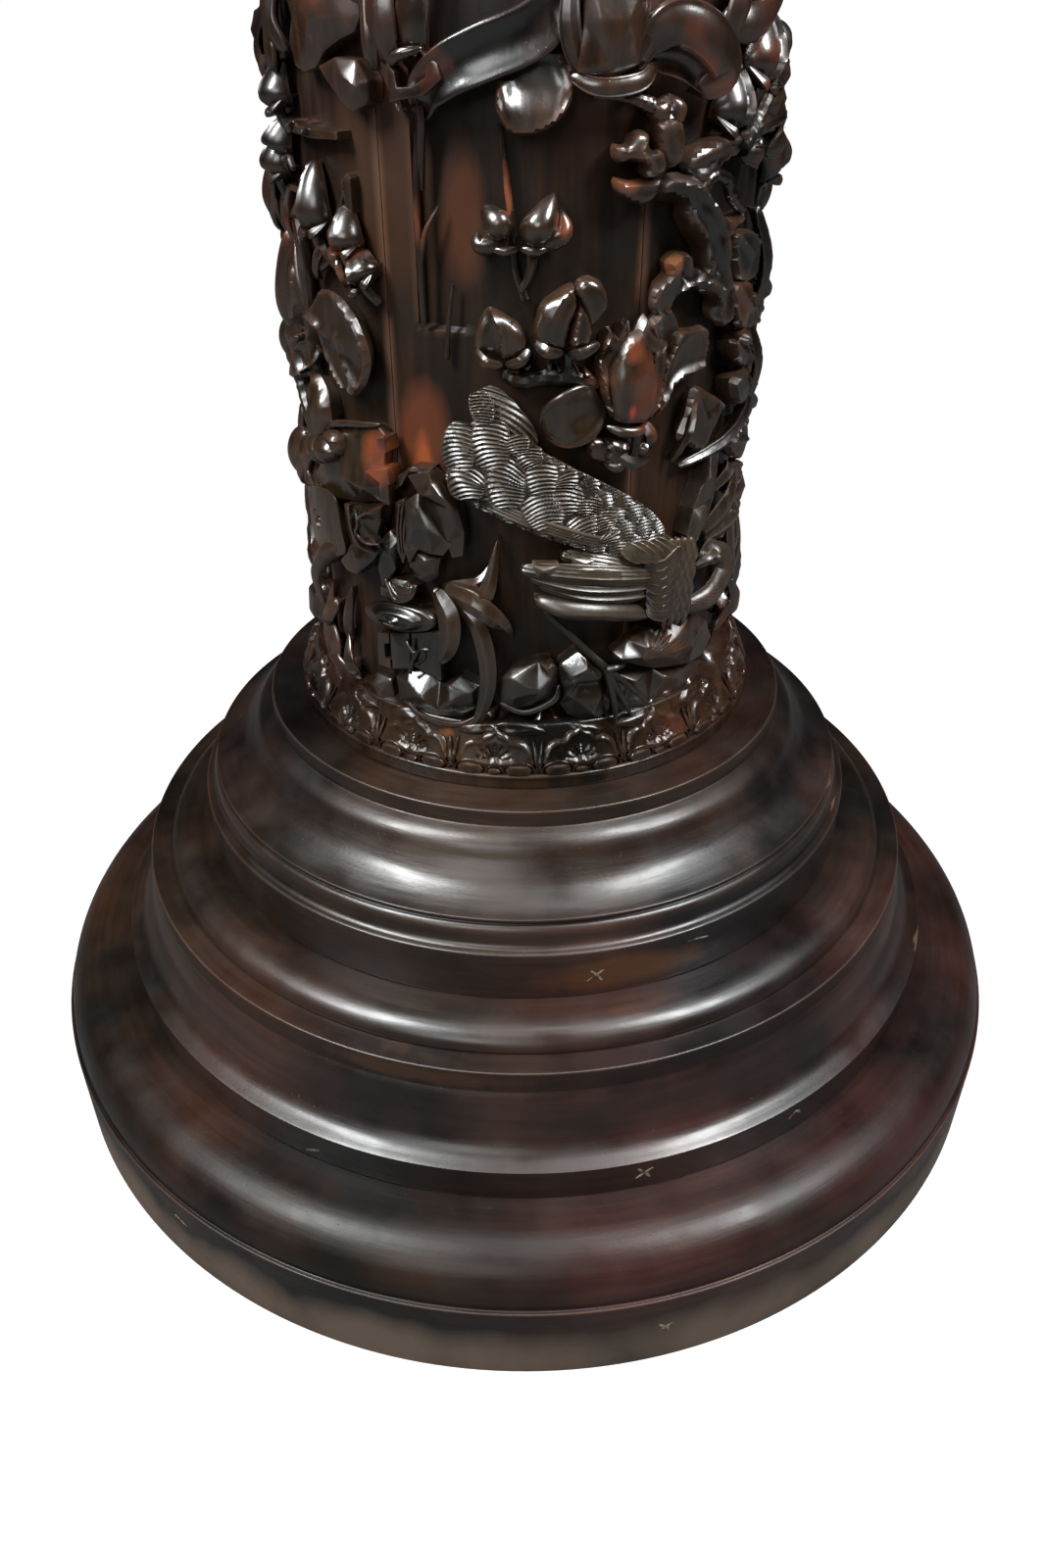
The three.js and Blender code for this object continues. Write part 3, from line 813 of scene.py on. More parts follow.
def turnedPiece(name, profile, nodes, slot="turned_hardwood", material=None, segments=240, wobble=0.12):
    profile = np.array(finer(eased(profile)))
    turn = np.linspace(0, 2 * math.pi, segments, endpoint=False)
    r, z = profile[:, 0][None, :], profile[:, 1][None, :]
    r = r + wobble * ripple(turn[:, None] * 4, z * 0.06, 1.0, len(name))
    z = z + 0 * turn[:, None]
    points = np.stack([r * np.cos(turn)[:, None], r * np.sin(turn)[:, None], z], -1)
    shells = Shells()
    faces = gridFaces(segments + 1, len(profile), ring=True)
    total = segments * len(profile)
    shells.add(points, [[i % total for i in face][::-1] for face in faces])
    return shells.piece(name, material or turnedWood, slot, nodes, sharp=50)


def throughPoints(knots, steps=18):
    return [tuple(p) for p in smoothCurve(knots, np.linspace(0, 1, steps + 1))]


plinth = {"radius": 300, "band": 51, "quirk": 2.5, "top": 270, "height": 79}
middle = {
    "radius": 254, "band": 98.5, "shoulder": 233.4, "top": 147.5,
    "flare": [(254, 98.7), (246.8, 102.2), (242, 108), (239.2, 116), (237.4, 124), (235, 130.5), (233, 134)],
}
bead = {"radius": 221, "lift": 0.5, "top": 205, "height": 159}
upper = {
    "radius": 194, "band": 188, "top": 243, "neck": 149,
    "hollow": [(192.5, 188.6), (188.5, 193.6)],
    "round": [(188.4, 194.2), (184.6, 200.4)],
    "lip": [(184, 202.4), (186, 202.6)],
    "flare": [(186, 204.2), (181, 205.8), (174.5, 209), (168.2, 213.5), (162.5, 221), (158.6, 228),
              (154.5, 231.6), (149.4, 234)],
}


def makeBase():
    foot = plinth["band"] + plinth["quirk"]
    inner = plinth["radius"] - plinth["quirk"]
    turnedPiece("plinth", [
        (rodHole, 0), (plinth["radius"], 0), (plinth["radius"], plinth["band"]), (inner, plinth["band"]),
        *quarter((inner, foot), (plinth["top"], plinth["height"]), steps=16), (rodHole, plinth["height"]),
    ], ["plinth_block"], material=plinthWood)
    turnedPiece("middle_step", [
        (rodHole, plinth["height"]), (middle["radius"], plinth["height"]),
        (middle["radius"], middle["band"]),
        *throughPoints(middle["flare"], 30), (middle["shoulder"], middle["top"]),
        (rodHole, middle["top"]),
    ], ["middle_block"])
    turnedPiece("bead", [
        (rodHole, middle["top"]),
        *quarter((bead["radius"], middle["top"] + bead["lift"]), (bead["top"], bead["height"]), steps=14),
        (rodHole, bead["height"]),
    ], ["bead_disc"])
    turnedPiece("upper_step", [
        (rodHole, bead["height"]), (upper["radius"], bead["height"]), (upper["radius"], upper["band"]),
        *quarter(*upper["hollow"], bulging=False, steps=5), *quarter(*upper["round"], steps=6),
        *upper["lip"],
        *throughPoints(upper["flare"], 34), (upper["neck"], upper["top"]), (rodHole, upper["top"]),
    ], ["upper_block"])


# Crossed cuts and scuffs on the turned blocks: where each stands, and its strokes from there.
blockMarks = {
    "colour": (0.16, 0.12, 0.085),
    "deep": (0.012, 0.007, 0.005),
    "width": 0.42,
    "thick": 0.12,
    "cuts": [
        {"angle": 10.4, "radius": 194.05, "height": 172,
         "strokes": [((-4, -3.4), (4, 3.4)), ((-3, 4), (3.4, -4))]},
        {"angle": 13.5, "radius": 254.05, "height": 90,
         "strokes": [((-4, -3.2), (4, 3)), ((-3.4, 4), (3, -4))]},
        {"angle": 13.4, "radius": 300.05, "height": 27,
         "strokes": [((-3.4, -2.4), (3.4, 2.6)), ((-3, 3.4), (2.4, -3.4))]},
        {"angle": 34.0, "radius": 254.05, "height": 91,
         "strokes": [((-4, -2), (0, 2)), ((0, 2), (3.4, -2.4))]},
        {"angle": -38.0, "radius": 300.05, "height": 36, "strokes": [((-5, 1), (4, -1.6))]},
        {"angle": -26.0, "radius": 254.05, "height": 86, "strokes": [((-3, -3), (5, 1))]},
        {"angle": 27.0, "radius": 194.05, "height": 180, "strokes": [((-6, 1), (6, -0.6))]},
    ],
}


def makeBlockMarks():
    chalk, tree, shader = nodeTree("rubbed cuts")
    dust = ramp(tree, noiseAt(tree, 300, 3), [(0.35, blockMarks["deep"]), (0.62, blockMarks["colour"])])
    fill(tree, shader, {"Base Color": dust, "Roughness": 0.7})
    cuts = Carving()
    for mark in blockMarks["cuts"]:
        cuts.place(mark["angle"], mark["height"], seen=False)
        cuts.radius = lambda z, r=mark["radius"]: r
        flat = seenRadius / mark["radius"]
        for first, last in mark["strokes"]:
            bend = ((first[0] + last[0]) / 2 + 0.4, (first[1] + last[1]) / 2 + 0.3)
            path = [(x * flat, y) for x, y in (first, bend, last)]
            cuts.leaf(path, [0.12, 0.16, 0.12], blockMarks["width"], (0.3, 0.3), thick=blockMarks["thick"],
                      dome=0.03, rows=10, cols=3)
    cuts.piece("block_marks", chalk, "turned_hardwood", [])


capital = {
    "ring": 126, "bulge": 136, "step": 11,
    "neck": [(128, 965), (128, 970), (126.5, 971)],
    "flare": [(127, 974), (131, 984), (142, 996), (159, 1004), (178, 1008), (181.5, 1011)],
    "radius": 182, "top": 1020,
}
board = {
    "centre": 0.01, "cove": [(185, 1020), (200, 1035)], "edge": [(200, 1043), (198, 1044.5)],
    "round": [(198, 1046), (185, 1060)],
}


def makeHead():
    ring, bulge, step = capital["ring"], capital["bulge"], capital["step"]
    turnedPiece("capital_ring", [
        (rodHole, shaftTop), *quarter((ring, shaftTop), (bulge, shaftTop + step), bulging=False,
                                      steps=8)[:-1],
        (bulge, shaftTop + step), *quarter((bulge, shaftTop + step), (ring, shaftTop + 2 * step),
                                           steps=8)[1:],
        (rodHole, shaftTop + 2 * step),
    ], ["capital_neck"])
    turnedPiece("capital", [
        (rodHole, capital["neck"][0][1]), *capital["neck"], *throughPoints(capital["flare"], 28),
        (capital["radius"], capital["top"]), (rodHole, capital["top"]),
    ], ["capital_bell"])
    low, high = board["cove"][0][1], board["round"][1][1]
    turnedPiece("top", [
        (board["centre"], low), board["cove"][0], *quarter(*board["cove"], bulging=False, steps=10)[1:],
        *board["edge"], *quarter(*board["round"], steps=10), (board["centre"], high),
    ], ["top_board"])


stave = {"count": 6, "seam": -33.0, "step": 2.0, "depth": 22.0, "gap": 0.25, "columns": 58}
channel = {"left": -20.5, "right": -8.5, "foot": 465, "head": 545, "depth": 5.0}


# How far the wall stands out from its radius: tool marks, and a recess cut on the front.
def wallForm(angle, z):
    marks = 0.22 * ripple(angle * 1.6, z * 0.35, 5.0, 3) + 0.1 * ripple(angle * 1.8, z * 0.12, 1.6, 4)
    left, foot = seenAt(channel["left"], channel["foot"], 0)
    right, head = seenAt(channel["right"], channel["head"], 0)
    across = (angle - left) / (right - left)
    inside = np.clip((angle - left) / 0.5, 0, 1) * np.clip((z - foot) / 1.2, 0, 1)
    inside = inside * np.clip((head - z) / 14, 0, 1) * np.clip(1 - across, 0, 1)
    return marks - channel["depth"] * inside


def makeStaves():
    span = 360 / stave["count"]
    back = wall - stave["depth"]
    heights = np.linspace(shaftFloor, shaftTop, int((shaftTop - shaftFloor) / stave["step"]) + 1)
    for i in range(stave["count"]):
        start = stave["seam"] + i * span
        angles = np.linspace(start, start + span, stave["columns"])
        a, z = np.meshgrid(angles, heights)
        seam = np.clip(np.minimum(a - start, start + span - a) / 0.55, 0, 1)
        r = wall + wallForm((a + 180) % 360 - 180, z) - 0.8 * (1 - seam)
        trim = np.where(a == angles[0], stave["gap"], 0) - np.where(a == angles[-1], stave["gap"], 0)
        turn = np.radians(a) + trim / wall
        outer = np.stack([r * np.sin(turn), -r * np.cos(turn), z], -1).reshape(-1, 3)
        inner = np.stack([back * np.sin(turn), -back * np.cos(turn), z], -1).reshape(-1, 3)
        shells = Shells()
        shells.add(np.vstack([outer, inner]), sheetFaces(*a.shape))
        shells.piece(f"shaft_stave_{i + 1}", wallWood, "carved_hardwood", [f"stave_{i + 1}"])


# Outlines of the border's forms, in millimetres about each petal's middle. The lashes are the angles
# of the cuts in a petal's foot, and a lash is how far from the petal's eye a cut starts and ends.
lotus = {
    "units": 18, "first": 13.0, "height": 262,
    "lashes": (12, 38, 64, 90, 116, 142, 168), "lash": (1.8, 7.4), "eye": 3.6,
    "petal": [(-15.5, -6), (-17.4, -1), (-15.4, 3.8), (-11.4, 6.2), (-8, 6), (-5.8, 9), (-2, 10.6),
              (0, 13.4), (2, 10.6), (5.8, 9), (8, 6), (11.4, 6.2), (15.4, 3.8), (17.4, -1), (15.5, -6)],
    "oval": [(-6.6, -0.4), (-4.8, 2.6), (0, 3.7), (4.8, 2.6), (6.6, -0.4), (4.6, -3.2), (0, -4),
             (-4.6, -3.2)],
    "arch": [(-7.4, -2), (-6.6, 1.8), (-3, 4.4), (0, 4.9), (3, 4.4), (6.6, 1.8), (7.4, -2)],
}


# The slope of the border that the petals stand on.
def borderRadius(z):
    return 126.4 - np.clip((z - 258) / 16, 0, 1) * 7.5


# One petal with lashes cut into its foot, over two ovals under arches and a smaller one between them.
def borderUnit(carving, middleAngle):
    carving.place(middleAngle, lotus["height"], seen=False)
    lashes = []
    for a in np.radians(lotus["lashes"]):
        ray = [(far * math.cos(a), far * math.sin(a) - lotus["eye"]) for far in lotus["lash"]]
        lashes.append((ray, -1.5, 0.65))
    edge = [(x * 0.9, y * 0.86 - 0.5) for x, y in lotus["petal"][1:-1]]
    carving.moulded(lotus["petal"], [(0, 0, 3.0), (-10, -1, 2.2), (10, -1, 2.2)], rim=2.2, foot=-0.4,
                    pitch=0.9, around=5, reach=1.2, side=0.5, tuck=0.4, uneven=0.12,
                    lines=[*lashes, (edge, 0.35, 0.6)], traced=False)
    for across, size in ((-11, 1.0), (11, 1.0), (0, 0.56)):
        low = -8.2 if size == 1.0 else -8.8
        carving.moulded([(across + x * size, low + y * size) for x, y in lotus["oval"]],
                        [(across, low, 3.4)], rim=2.2, foot=-0.4, pitch=1.2, around=3.5, reach=1.6, side=0.3,
                        tuck=0.4, uneven=0.06, traced=False)
        carving.branch([(across + x * size, low + y * size, 2.0) for x, y in lotus["arch"]],
                       [0.3, 0.4, 0.45, 0.45, 0.45, 0.4, 0.3], bark=0.05, rows=22)
    for side in (-1, 1):
        carving.branch([(side * 18.5, -10, 1.2), (side * 20.5, -4, 1.8), (side * 22, 6, 1.2)],
                       [0.8, 1.3, 0.6], bark=0.1)


# Low broken rocks that fill the slope behind the petals.
def groundRocks(carving, count=24):
    chance = np.random.default_rng(8)
    for i in range(count):
        angle = (i + chance.uniform(-0.3, 0.3)) * 360 / count
        carving.place(angle, 273 + chance.uniform(-2, 0.4), chance.uniform(-10, 10), seen=False)
        carving.rock((chance.uniform(9, 16), chance.uniform(3, 4.4)), chance.uniform(1.6, 3.6), seed=40 + i,
                     facets=9, ease=0.4)


ringForm = {
    "seat": 0.7,
    "face": [(129.4, 0), (129.6, 6), (130.1, 6.6), (129.8, 7.8), (128.6, 8.4), (126.4, 8.8), (126.4, 15),
             (118.9, 32)],
    "slope": 34.5,
}


def ringBody(flip):
    seat = wall + ringForm["seat"]
    shape = [(seat, 0), *ringForm["face"], (seat, ringForm["slope"])]
    if flip:
        return [(r, shaftTop - z) for r, z in shape][::-1]
    return [(r, shaftFloor + z) for r, z in shape]


def lotusRow():
    row = Carving(radius=borderRadius)
    for i in range(lotus["units"]):
        borderUnit(row, lotus["first"] + i * 360 / lotus["units"])
    groundRocks(row)
    return row


def makeBorders():
    turnedPiece("lotus_ring", ringBody(False), [], "carved_hardwood", borderWood)
    turnedPiece("head_ring", ringBody(True), [], "carved_hardwood", borderWood)
    lotusRow().piece("lotus_border", borderWood, "carved_hardwood", ["lower_border"])
    above = lotusRow()
    ends = shaftTop + shaftFloor
    above.points = [np.column_stack([p[:, :2], ends - p[:, 2]]) for p in above.points]
    above.faces = [face[::-1] for face in above.faces]
    above.piece("head_border", borderWood, "carved_hardwood", ["upper_border"])


# A finished carving in its wood: the bird is less polished than the rest.
def finished(carving, name, *nodes):
    wood = featherWood if name.startswith("bird") else carvedWood
    return carving.piece(name, wood, "carved_hardwood", nodes)


# Traced forms, here and below: a point is degrees round the shaft and millimetres up, as the camera
# sees it. A third number is how far out of the wall it stands.
rocks = {
    "front": [(-6.5, 303), (-3, 309), (3, 313), (6, 313.5), (7.5, 308.5), (7.5, 300), (5.5, 292), (1, 287),
              (-3, 286), (-6, 289.5), (-7, 295)],
    "frontFlat": [(-3, 303.5, 13), (4.5, 309, 13.5), (6, 303, 14), (3, 295.5, 15.5), (-2.5, 292.5, 14)],
    "tall": [(8, 311), (12, 317), (15.5, 312), (19, 306), (21, 299), (21.5, 287), (23, 268), (20, 272),
             (15, 276), (10, 282), (8, 289), (8.5, 297), (7.5, 305)],
    "tallFlat": [(14, 312, 13), (10.5, 303, 14), (14.5, 306, 16), (12, 300, 15.5), (17.5, 300, 15.5),
                 (12.5, 298.5, 10.5), (17, 298.5, 10.5), (11.5, 290.5, 12), (17.5, 288, 12.5), (10, 293, 14),
                 (16, 281, 12)],
    "lilyLeaf": [(20.5, 314), (24, 319), (27, 321), (28.5, 323.5), (35, 321.5), (43, 323), (49, 313.5),
                 (52.5, 301), (49.5, 293.5), (43.5, 293), (31.5, 299), (24.5, 306), (21, 309)],
    "lilyLeafFlat": [(22, 313, 17), (26, 318, 17.5), (30, 311.5, 19), (28.5, 306.5, 18), (23, 308.5, 16),
                     (36, 309, 17), (41, 316, 14), (45, 305, 15), (36, 302, 16)],
    "bank": [(20, 304), (31.5, 299), (45, 293), (56, 284), (60, 268), (45, 266), (33, 266), (22, 264),
             (20, 280)],
    "bankFlat": [(27, 294, 10), (40, 287, 10), (31, 280, 8), (44, 278, 9), (36, 291, 12), (52, 276, 9),
                 (26, 274, 7)],
    "lantern": [(-32, 294.5), (-28, 302), (-22, 301), (-20, 298), (-15, 302.5), (-10.5, 298.5), (-10.5, 287),
                (-14, 279), (-22, 276.5), (-28, 276.5), (-31.5, 282)],
    "lanternFlat": [(-29, 293, 13), (-25.5, 299, 13), (-22, 294, 16), (-26, 286, 16.5), (-18, 296, 14),
                    (-13, 293, 12.5), (-18, 286, 17), (-21, 281, 14)],
    "chips": [(-8, 282, (4.5, 4), 8), (-3, 279, (5, 3), 7), (3, 281, (6, 4), 9), (7, 276, (8, 4), 10),
              (3, 272, (6, 3), 7), (-2, 271, (7, 3), 6), (11, 271, (6, 3), 7), (-10, 291, (5, 7), 6)],
    "bankChips": [(30, 279, 30), (36, 283, 20), (43, 284, 60), (38, 274, 10), (47, 277, 40), (53, 286, 70),
                  (27, 272, 20)],
    "ledgeChips": [(-38, 272, (9, 3)), (-29, 270, (10, 4)), (-19, 270, (9, 4)), (-35, 276, (6, 4)),
                   (-13, 273, (6, 4))],
    "left": [(-43.5, 283), (-38, 292.5), (-33.5, 292), (-32.5, 279.5), (-37, 274), (-44.5, 276)],
    "leftFlat": [(-40, 284, 10), (-37, 289, 11), (-35, 284, 13), (-38, 279, 11)],
}


def makeRocks():
    low = Carving()
    low.planed(rocks["front"], rocks["frontFlat"], rim=8, ease=1.0)
    low.leaf(seen([(-6, 289), (0, 284.5), (6.5, 291), (8, 299)], 9), [8, 9.5, 9.5, 8], 1.6, (0.3, 0.3),
             dome=1, thick=4, rows=24, cols=6)
    for k, (angle, height, half, proud) in enumerate(rocks["chips"]):
        low.place(angle, height, k * 31, out=6).rock(half, proud, seed=4 + k, facets=8, ease=0.5)
    finished(low, "rock_front", "boulder_low")
    mid = Carving()
    mid.planed(rocks["tall"], rocks["tallFlat"], rim=8)
    finished(mid, "rock_tall", "boulder_mid")
    high = Carving()
    high.planed(rocks["lilyLeaf"], rocks["lilyLeafFlat"], rim=10, foot=4)
    high.planed(rocks["bank"], rocks["bankFlat"], rim=5)
    for k in range(9):    # the leaf's veins
        tip = (31 + k * 2.4, 321 - abs(k - 3) * 1.5 - k * 1.6)
        bend = ((28.6 + tip[0]) / 2, (308 + tip[1]) / 2)
        high.leaf(seen([(28.6, 306), bend, tip], 17), [17.5, 17, 11], 0.9, (0.3, 0.5), dome=0.8, thick=3,
                  rows=20, cols=4)
    for k, (angle, height, turn) in enumerate(rocks["bankChips"]):
        high.place(angle, height, turn, out=7).rock((8, 3), 11, seed=31 + k, facets=9, ease=0.5)
    high.home()
    high.planed([(19.5, 304), (25, 295), (32, 278), (28, 274), (23, 268), (21.5, 284)], [(24, 284, 8)],
                rim=11, foot=3)
    finished(high, "rock_right", "boulder_high")
    ledge = Carving()
    ledge.planed(rocks["lantern"], rocks["lanternFlat"], rim=8)
    ledge.planed(rocks["left"], rocks["leftFlat"], rim=6)
    ledge.leaf(seen([(-31, 283), (-25, 276.5), (-16, 275.5), (-11, 281)], 10), [9, 12, 12, 9], 1.8, dome=1,
               thick=5, rows=30, cols=6)
    for k, (angle, height, half) in enumerate(rocks["ledgeChips"]):
        ledge.place(angle, height, k * 13 - 20, out=6).rock(half, 8, seed=51 + k, facets=9, ease=0.5)
    finished(ledge, "lantern_rock", "lantern_foot")


lantern = {
    "jamb": [(-37.5, 297.5), (-37, 316), (-33.5, 317.5), (-33.5, 312), (-35, 311), (-35, 303), (-33.5, 303),
             (-33.5, 298)],
    "side": [(-33, 298), (-33, 318), (-27.5, 321.5), (-27.5, 302)],
    "front": [(-27, 303), (-27, 321.5), (-19.5, 325), (-19.8, 298)],
    "knobs": [(-31.8, 308), (-29.8, 306)],
    "twigs": [[(-28, 299), (-26.8, 308), (-26.4, 319)], [(-26.8, 307), (-25, 313), (-22.4, 314.5)],
              [(-26.6, 311), (-28.5, 316)], [(-26.2, 304), (-24, 309), (-23.6, 313)]],
    "roof": (21, 7.6), "eave": (20.5, 7.2),
}


# The rings cut round the lantern's roof.
def roofRings(x, y):
    far = np.sqrt((x / 21) ** 2 + (y / 8) ** 2)
    return 0.8 * np.cos(far * 13)


def makeLantern():
    house = Carving()
    house.planed(lantern["jamb"], rim=9)
    house.planed(lantern["side"], [(-30, 311, 13.5)], rim=12)
    house.planed(lantern["front"], [(-23, 312, 14)], rim=12.5)
    for angle, height in lantern["knobs"]:
        house.place(angle, height, out=13).rock((1.4, 1.6), 14.5, seed=3, facets=7, ease=0.2)
    house.home()
    for path in lantern["twigs"]:
        house.stem(path, 14, [1.2, 0.9, 0.6], rows=14)
    finished(house, "lantern_house_front", "lantern_house")
    roof = Carving()
    roof.place(-30, 329, turn=6, out=10)
    roof.egg(lantern["roof"], 7, at=(0, 0, 9), rows=26, cols=60, engrave=roofRings)
    roof.egg(lantern["eave"], 9, at=(0, 0, 0.4), rows=8, cols=30)
    finished(roof, "lantern_cap", "lantern_roof")


# A closed bud on its stem, upright about the carving's own place: one petal laps over the other.
def bud(carving, half=14, tall=30, proud=15, sepals=True, lean=0.12, lap=2.0):
    def folds(x, y, share, t):
        seam = -0.15 + 0.5 * share - 0.55 * share**3
        over = -lap * np.clip((seam - t) / 0.04, 0, 1) * np.clip((share - 0.02) / 0.1, 0, 1)
        return over + 0.9 * np.exp(-(((t - seam - 0.05) / 0.09) ** 2)) + 0.25 * ripple(x, y, 4, 3)

    carving.leaf([(0, 0), (half * lean * 0.3, tall * 0.4), (half * lean, tall)], [3, 5, 2.5], half,
                 (0.34, 0.62), dome=proud - 4.5, thick=8, rows=40, cols=36, engrave=folds)
    if sepals:
        for side in (-1, 1):
            carving.leaf([(side * half * 0.12, -1.5), (side * half * 0.5, -0.6), (side * half * 0.92, 4)],
                         [proud * 0.72, proud * 0.78, proud * 0.4], half * 0.17, (0.4, 0.7), dome=1.3,
                         rim=0.4, thick=6, rows=14, cols=8)
        carving.branch([(0, 1, proud * 0.5), (0, -4, proud * 0.42), (1, -9, proud * 0.25)], [2.6, 2.2, 2.4],
                       rows=8)


# An open magnolia: petals behind, a folded petal in front and curled ones beside it.
def magnolia(carving, half=20, tall=46, proud=16, spread=1.0):
    for turn, size, depth in ((-34, 0.9, 0.25), (32, 0.92, 0.25), (-14, 1.05, 0.42), (15, 1.03, 0.42)):
        a = math.radians(turn * spread)
        reach = tall * size
        tip = (math.sin(a) * reach, math.cos(a) * reach)
        belly = (math.sin(a * 1.5) * reach * 0.5, reach * 0.48)
        carving.leaf([(0, 1), belly, tip], [proud * depth * 0.5, proud * depth * 1.1, proud * depth],
                     half * 0.6, (0.4, 0.62), dome=3.4, rim=1.3, thick=5, rows=24, cols=14)
    carving.leaf([(-1, 0), (-half * 0.1, tall * 0.4), (half * 0.1, tall * 0.86)],
                 [proud * 0.4, proud * 0.62, proud * 0.42], half * 0.62, (0.36, 0.55), dome=proud * 0.5,
                 thick=7, rows=28, cols=18)
    carving.leaf([(2, 0), (half * 0.5, tall * 0.35), (half * 0.42, tall * 0.78)],
                 [proud * 0.4, proud * 0.6, proud * 0.4], half * 0.36, (0.4, 0.6), dome=4, rim=0.8, thick=6)
    for side in (-1, 1):
        carving.leaf([(0, 0), (side * half * 0.45, -2), (side * half * 0.8, 3)],
                     [proud * 0.45, proud * 0.5, proud * 0.3], half * 0.17, (0.4, 0.6), dome=1.8, thick=4,
                     rows=12, cols=8)
    carving.branch([(0, 2, proud * 0.4), (1, -6, proud * 0.35), (0, -14, proud * 0.2)], [3, 2.4, 3], rows=10)


# A glossy dished leaf with a raised rim.
def dishedLeaf(carving, half=13, tall=28, proud=7, rim=1.6, taper=(0.45, 0.5)):
    carving.leaf([(0, -tall / 2), (0, 0), (0, tall / 2)], [proud * 0.7, proud, proud * 0.7], half, taper,
                 dome=3.2, rim=rim, thick=5, rows=28, cols=20)


# A lobed leaf with a folded middle.
def foldedLeaf(carving, half=9, tall=34, proud=8, ridge=2.5, bend=4):
    carving.leaf([(0, 0), (bend, tall * 0.5), (0, tall)], [2, proud, proud * 0.5], half, (0.5, 0.8),
                 ridge=ridge, thick=4, rows=22, cols=12, wave=0.4)


# Each blade: its path, its height out along the way, and half its width.
orchid = [
    ([(-19, 346), (-12, 346.5), (-8.3, 350), (-6, 374)], [5, 9, 11, 4], 5.2),
    ([(-19, 346), (-11, 343), (-5.5, 334), (-3, 321)], [6, 12, 12, 3], 5.6),
    ([(-17, 343), (-10.5, 330), (-8.3, 305), (-10.5, 282), (-16, 262)], [5, 10, 12, 12, 8], 4.2),
    ([(-21, 345), (-17, 335), (-17.6, 317), (-24, 303)], [6, 12, 13, 9], 5.4),
    ([(-22, 345), (-19.5, 338), (-18.5, 326), (-20, 314)], [4, 7, 8, 4], 3.6),
    ([(-20, 346), (-14, 349), (-10, 353), (-8, 360)], [3, 5, 6, 2], 3.0),
]


# A fine groove down each side of a blade.
def bladeGrooves(x, y, share, t):
    return -0.5 * np.exp(-((np.abs(t) - 0.45) / 0.1) ** 2)


def makeOrchid():
    blades = Carving()
    for path, lift, half in orchid:
        blades.leaf(seen(path, 10), lift, half, (0.35, 0.8), ridge=2.0, thick=4, edge=1.0, rows=44, cols=10,
                    engrave=bladeGrooves)
    finished(blades, "orchid_blades", "orchid_clump")


bellBloom = {
    "front": [(-26.5, 389), (-23, 394), (-17.5, 373.5), (-16, 370.5), (-18, 365), (-20.5, 365), (-24, 366),
              (-26.5, 358), (-27.5, 365)],
    "frontFlat": [(-21.5, 377, 17), (-24.5, 377, 16), (-23.5, 386, 16)],
    "right": [(-25.5, 401), (-20.5, 404.5), (-17.5, 400), (-14, 388.5), (-13, 377), (-13.5, 366),
              (-16, 364.5), (-17, 371), (-18.5, 376), (-22.5, 391.5), (-23.5, 395)],
    "rightFlat": [(-20, 399, 16), (-18, 393.5, 16.5), (-22, 393, 16), (-15, 380, 13), (-16, 388, 15)],
    "left": [(-28.5, 388), (-26.5, 390), (-26.5, 366), (-28, 357), (-29.5, 364.5)],
    "low": [(-25.5, 366), (-22, 366), (-18.5, 364), (-19.5, 354), (-21.5, 350.5), (-24, 351), (-26.5, 357)],
    "lowFlat": [(-22.5, 361, 14), (-21, 355, 12)],
    "spur": [(-34, 366), (-31, 373), (-28.5, 369), (-30, 354), (-34, 340), (-35, 352)],
    "knot": [(-34.8, 342), (-31, 348.5), (-27, 349), (-25, 346), (-26.5, 339.5), (-30.5, 335), (-34.8, 338)],
    "hood": [(-29, 393), (-28, 400), (-24.5, 405.5), (-19.5, 406), (-21.5, 403.5), (-25.5, 401.5),
             (-27, 396)],
}


def makeBell():
    bell = Carving()
    bell.planed(bellBloom["right"], bellBloom["rightFlat"], rim=11, foot=3)
    bell.planed(bellBloom["front"], bellBloom["frontFlat"], rim=12, foot=3)
    bell.planed(bellBloom["left"], [(-27.6, 376, 12)], rim=10, foot=1)
    bell.planed(bellBloom["low"], bellBloom["lowFlat"], rim=9, foot=2)
    bell.planed(bellBloom["hood"], [(-25, 403.5, 11)], rim=8)
    for k in range(3):
        rib = [(-28.3 + k, 386), (-28.6 + k * 0.8, 374), (-28.8 + k * 0.6, 362)]
        bell.leaf(seen(rib, 12), [11, 12.6, 11], 0.6, (0.2, 0.3), dome=0.6, thick=3, rows=18, cols=4)
    bell.planed(bellBloom["spur"], [(-31.5, 362, 12)], rim=8)
    bell.planed(bellBloom["knot"], [(-30.5, 342, 12)], rim=9)
    for k in range(4):
        turn = [(-34 + k * 0.9, 346 - k), (-31 + k * 0.9, 337.6 + k * 2.2), (-27 + k * 0.2, 340 + k * 1.9),
                (-25.4 - k * 0.6, 347)]
        bell.leaf(seen(turn, 13), [11, 13, 13, 11], 1.2, (0.3, 0.3), dome=1, thick=5, rows=20, cols=6)
    finished(bell, "hanging_bloom", "bell_bloom")


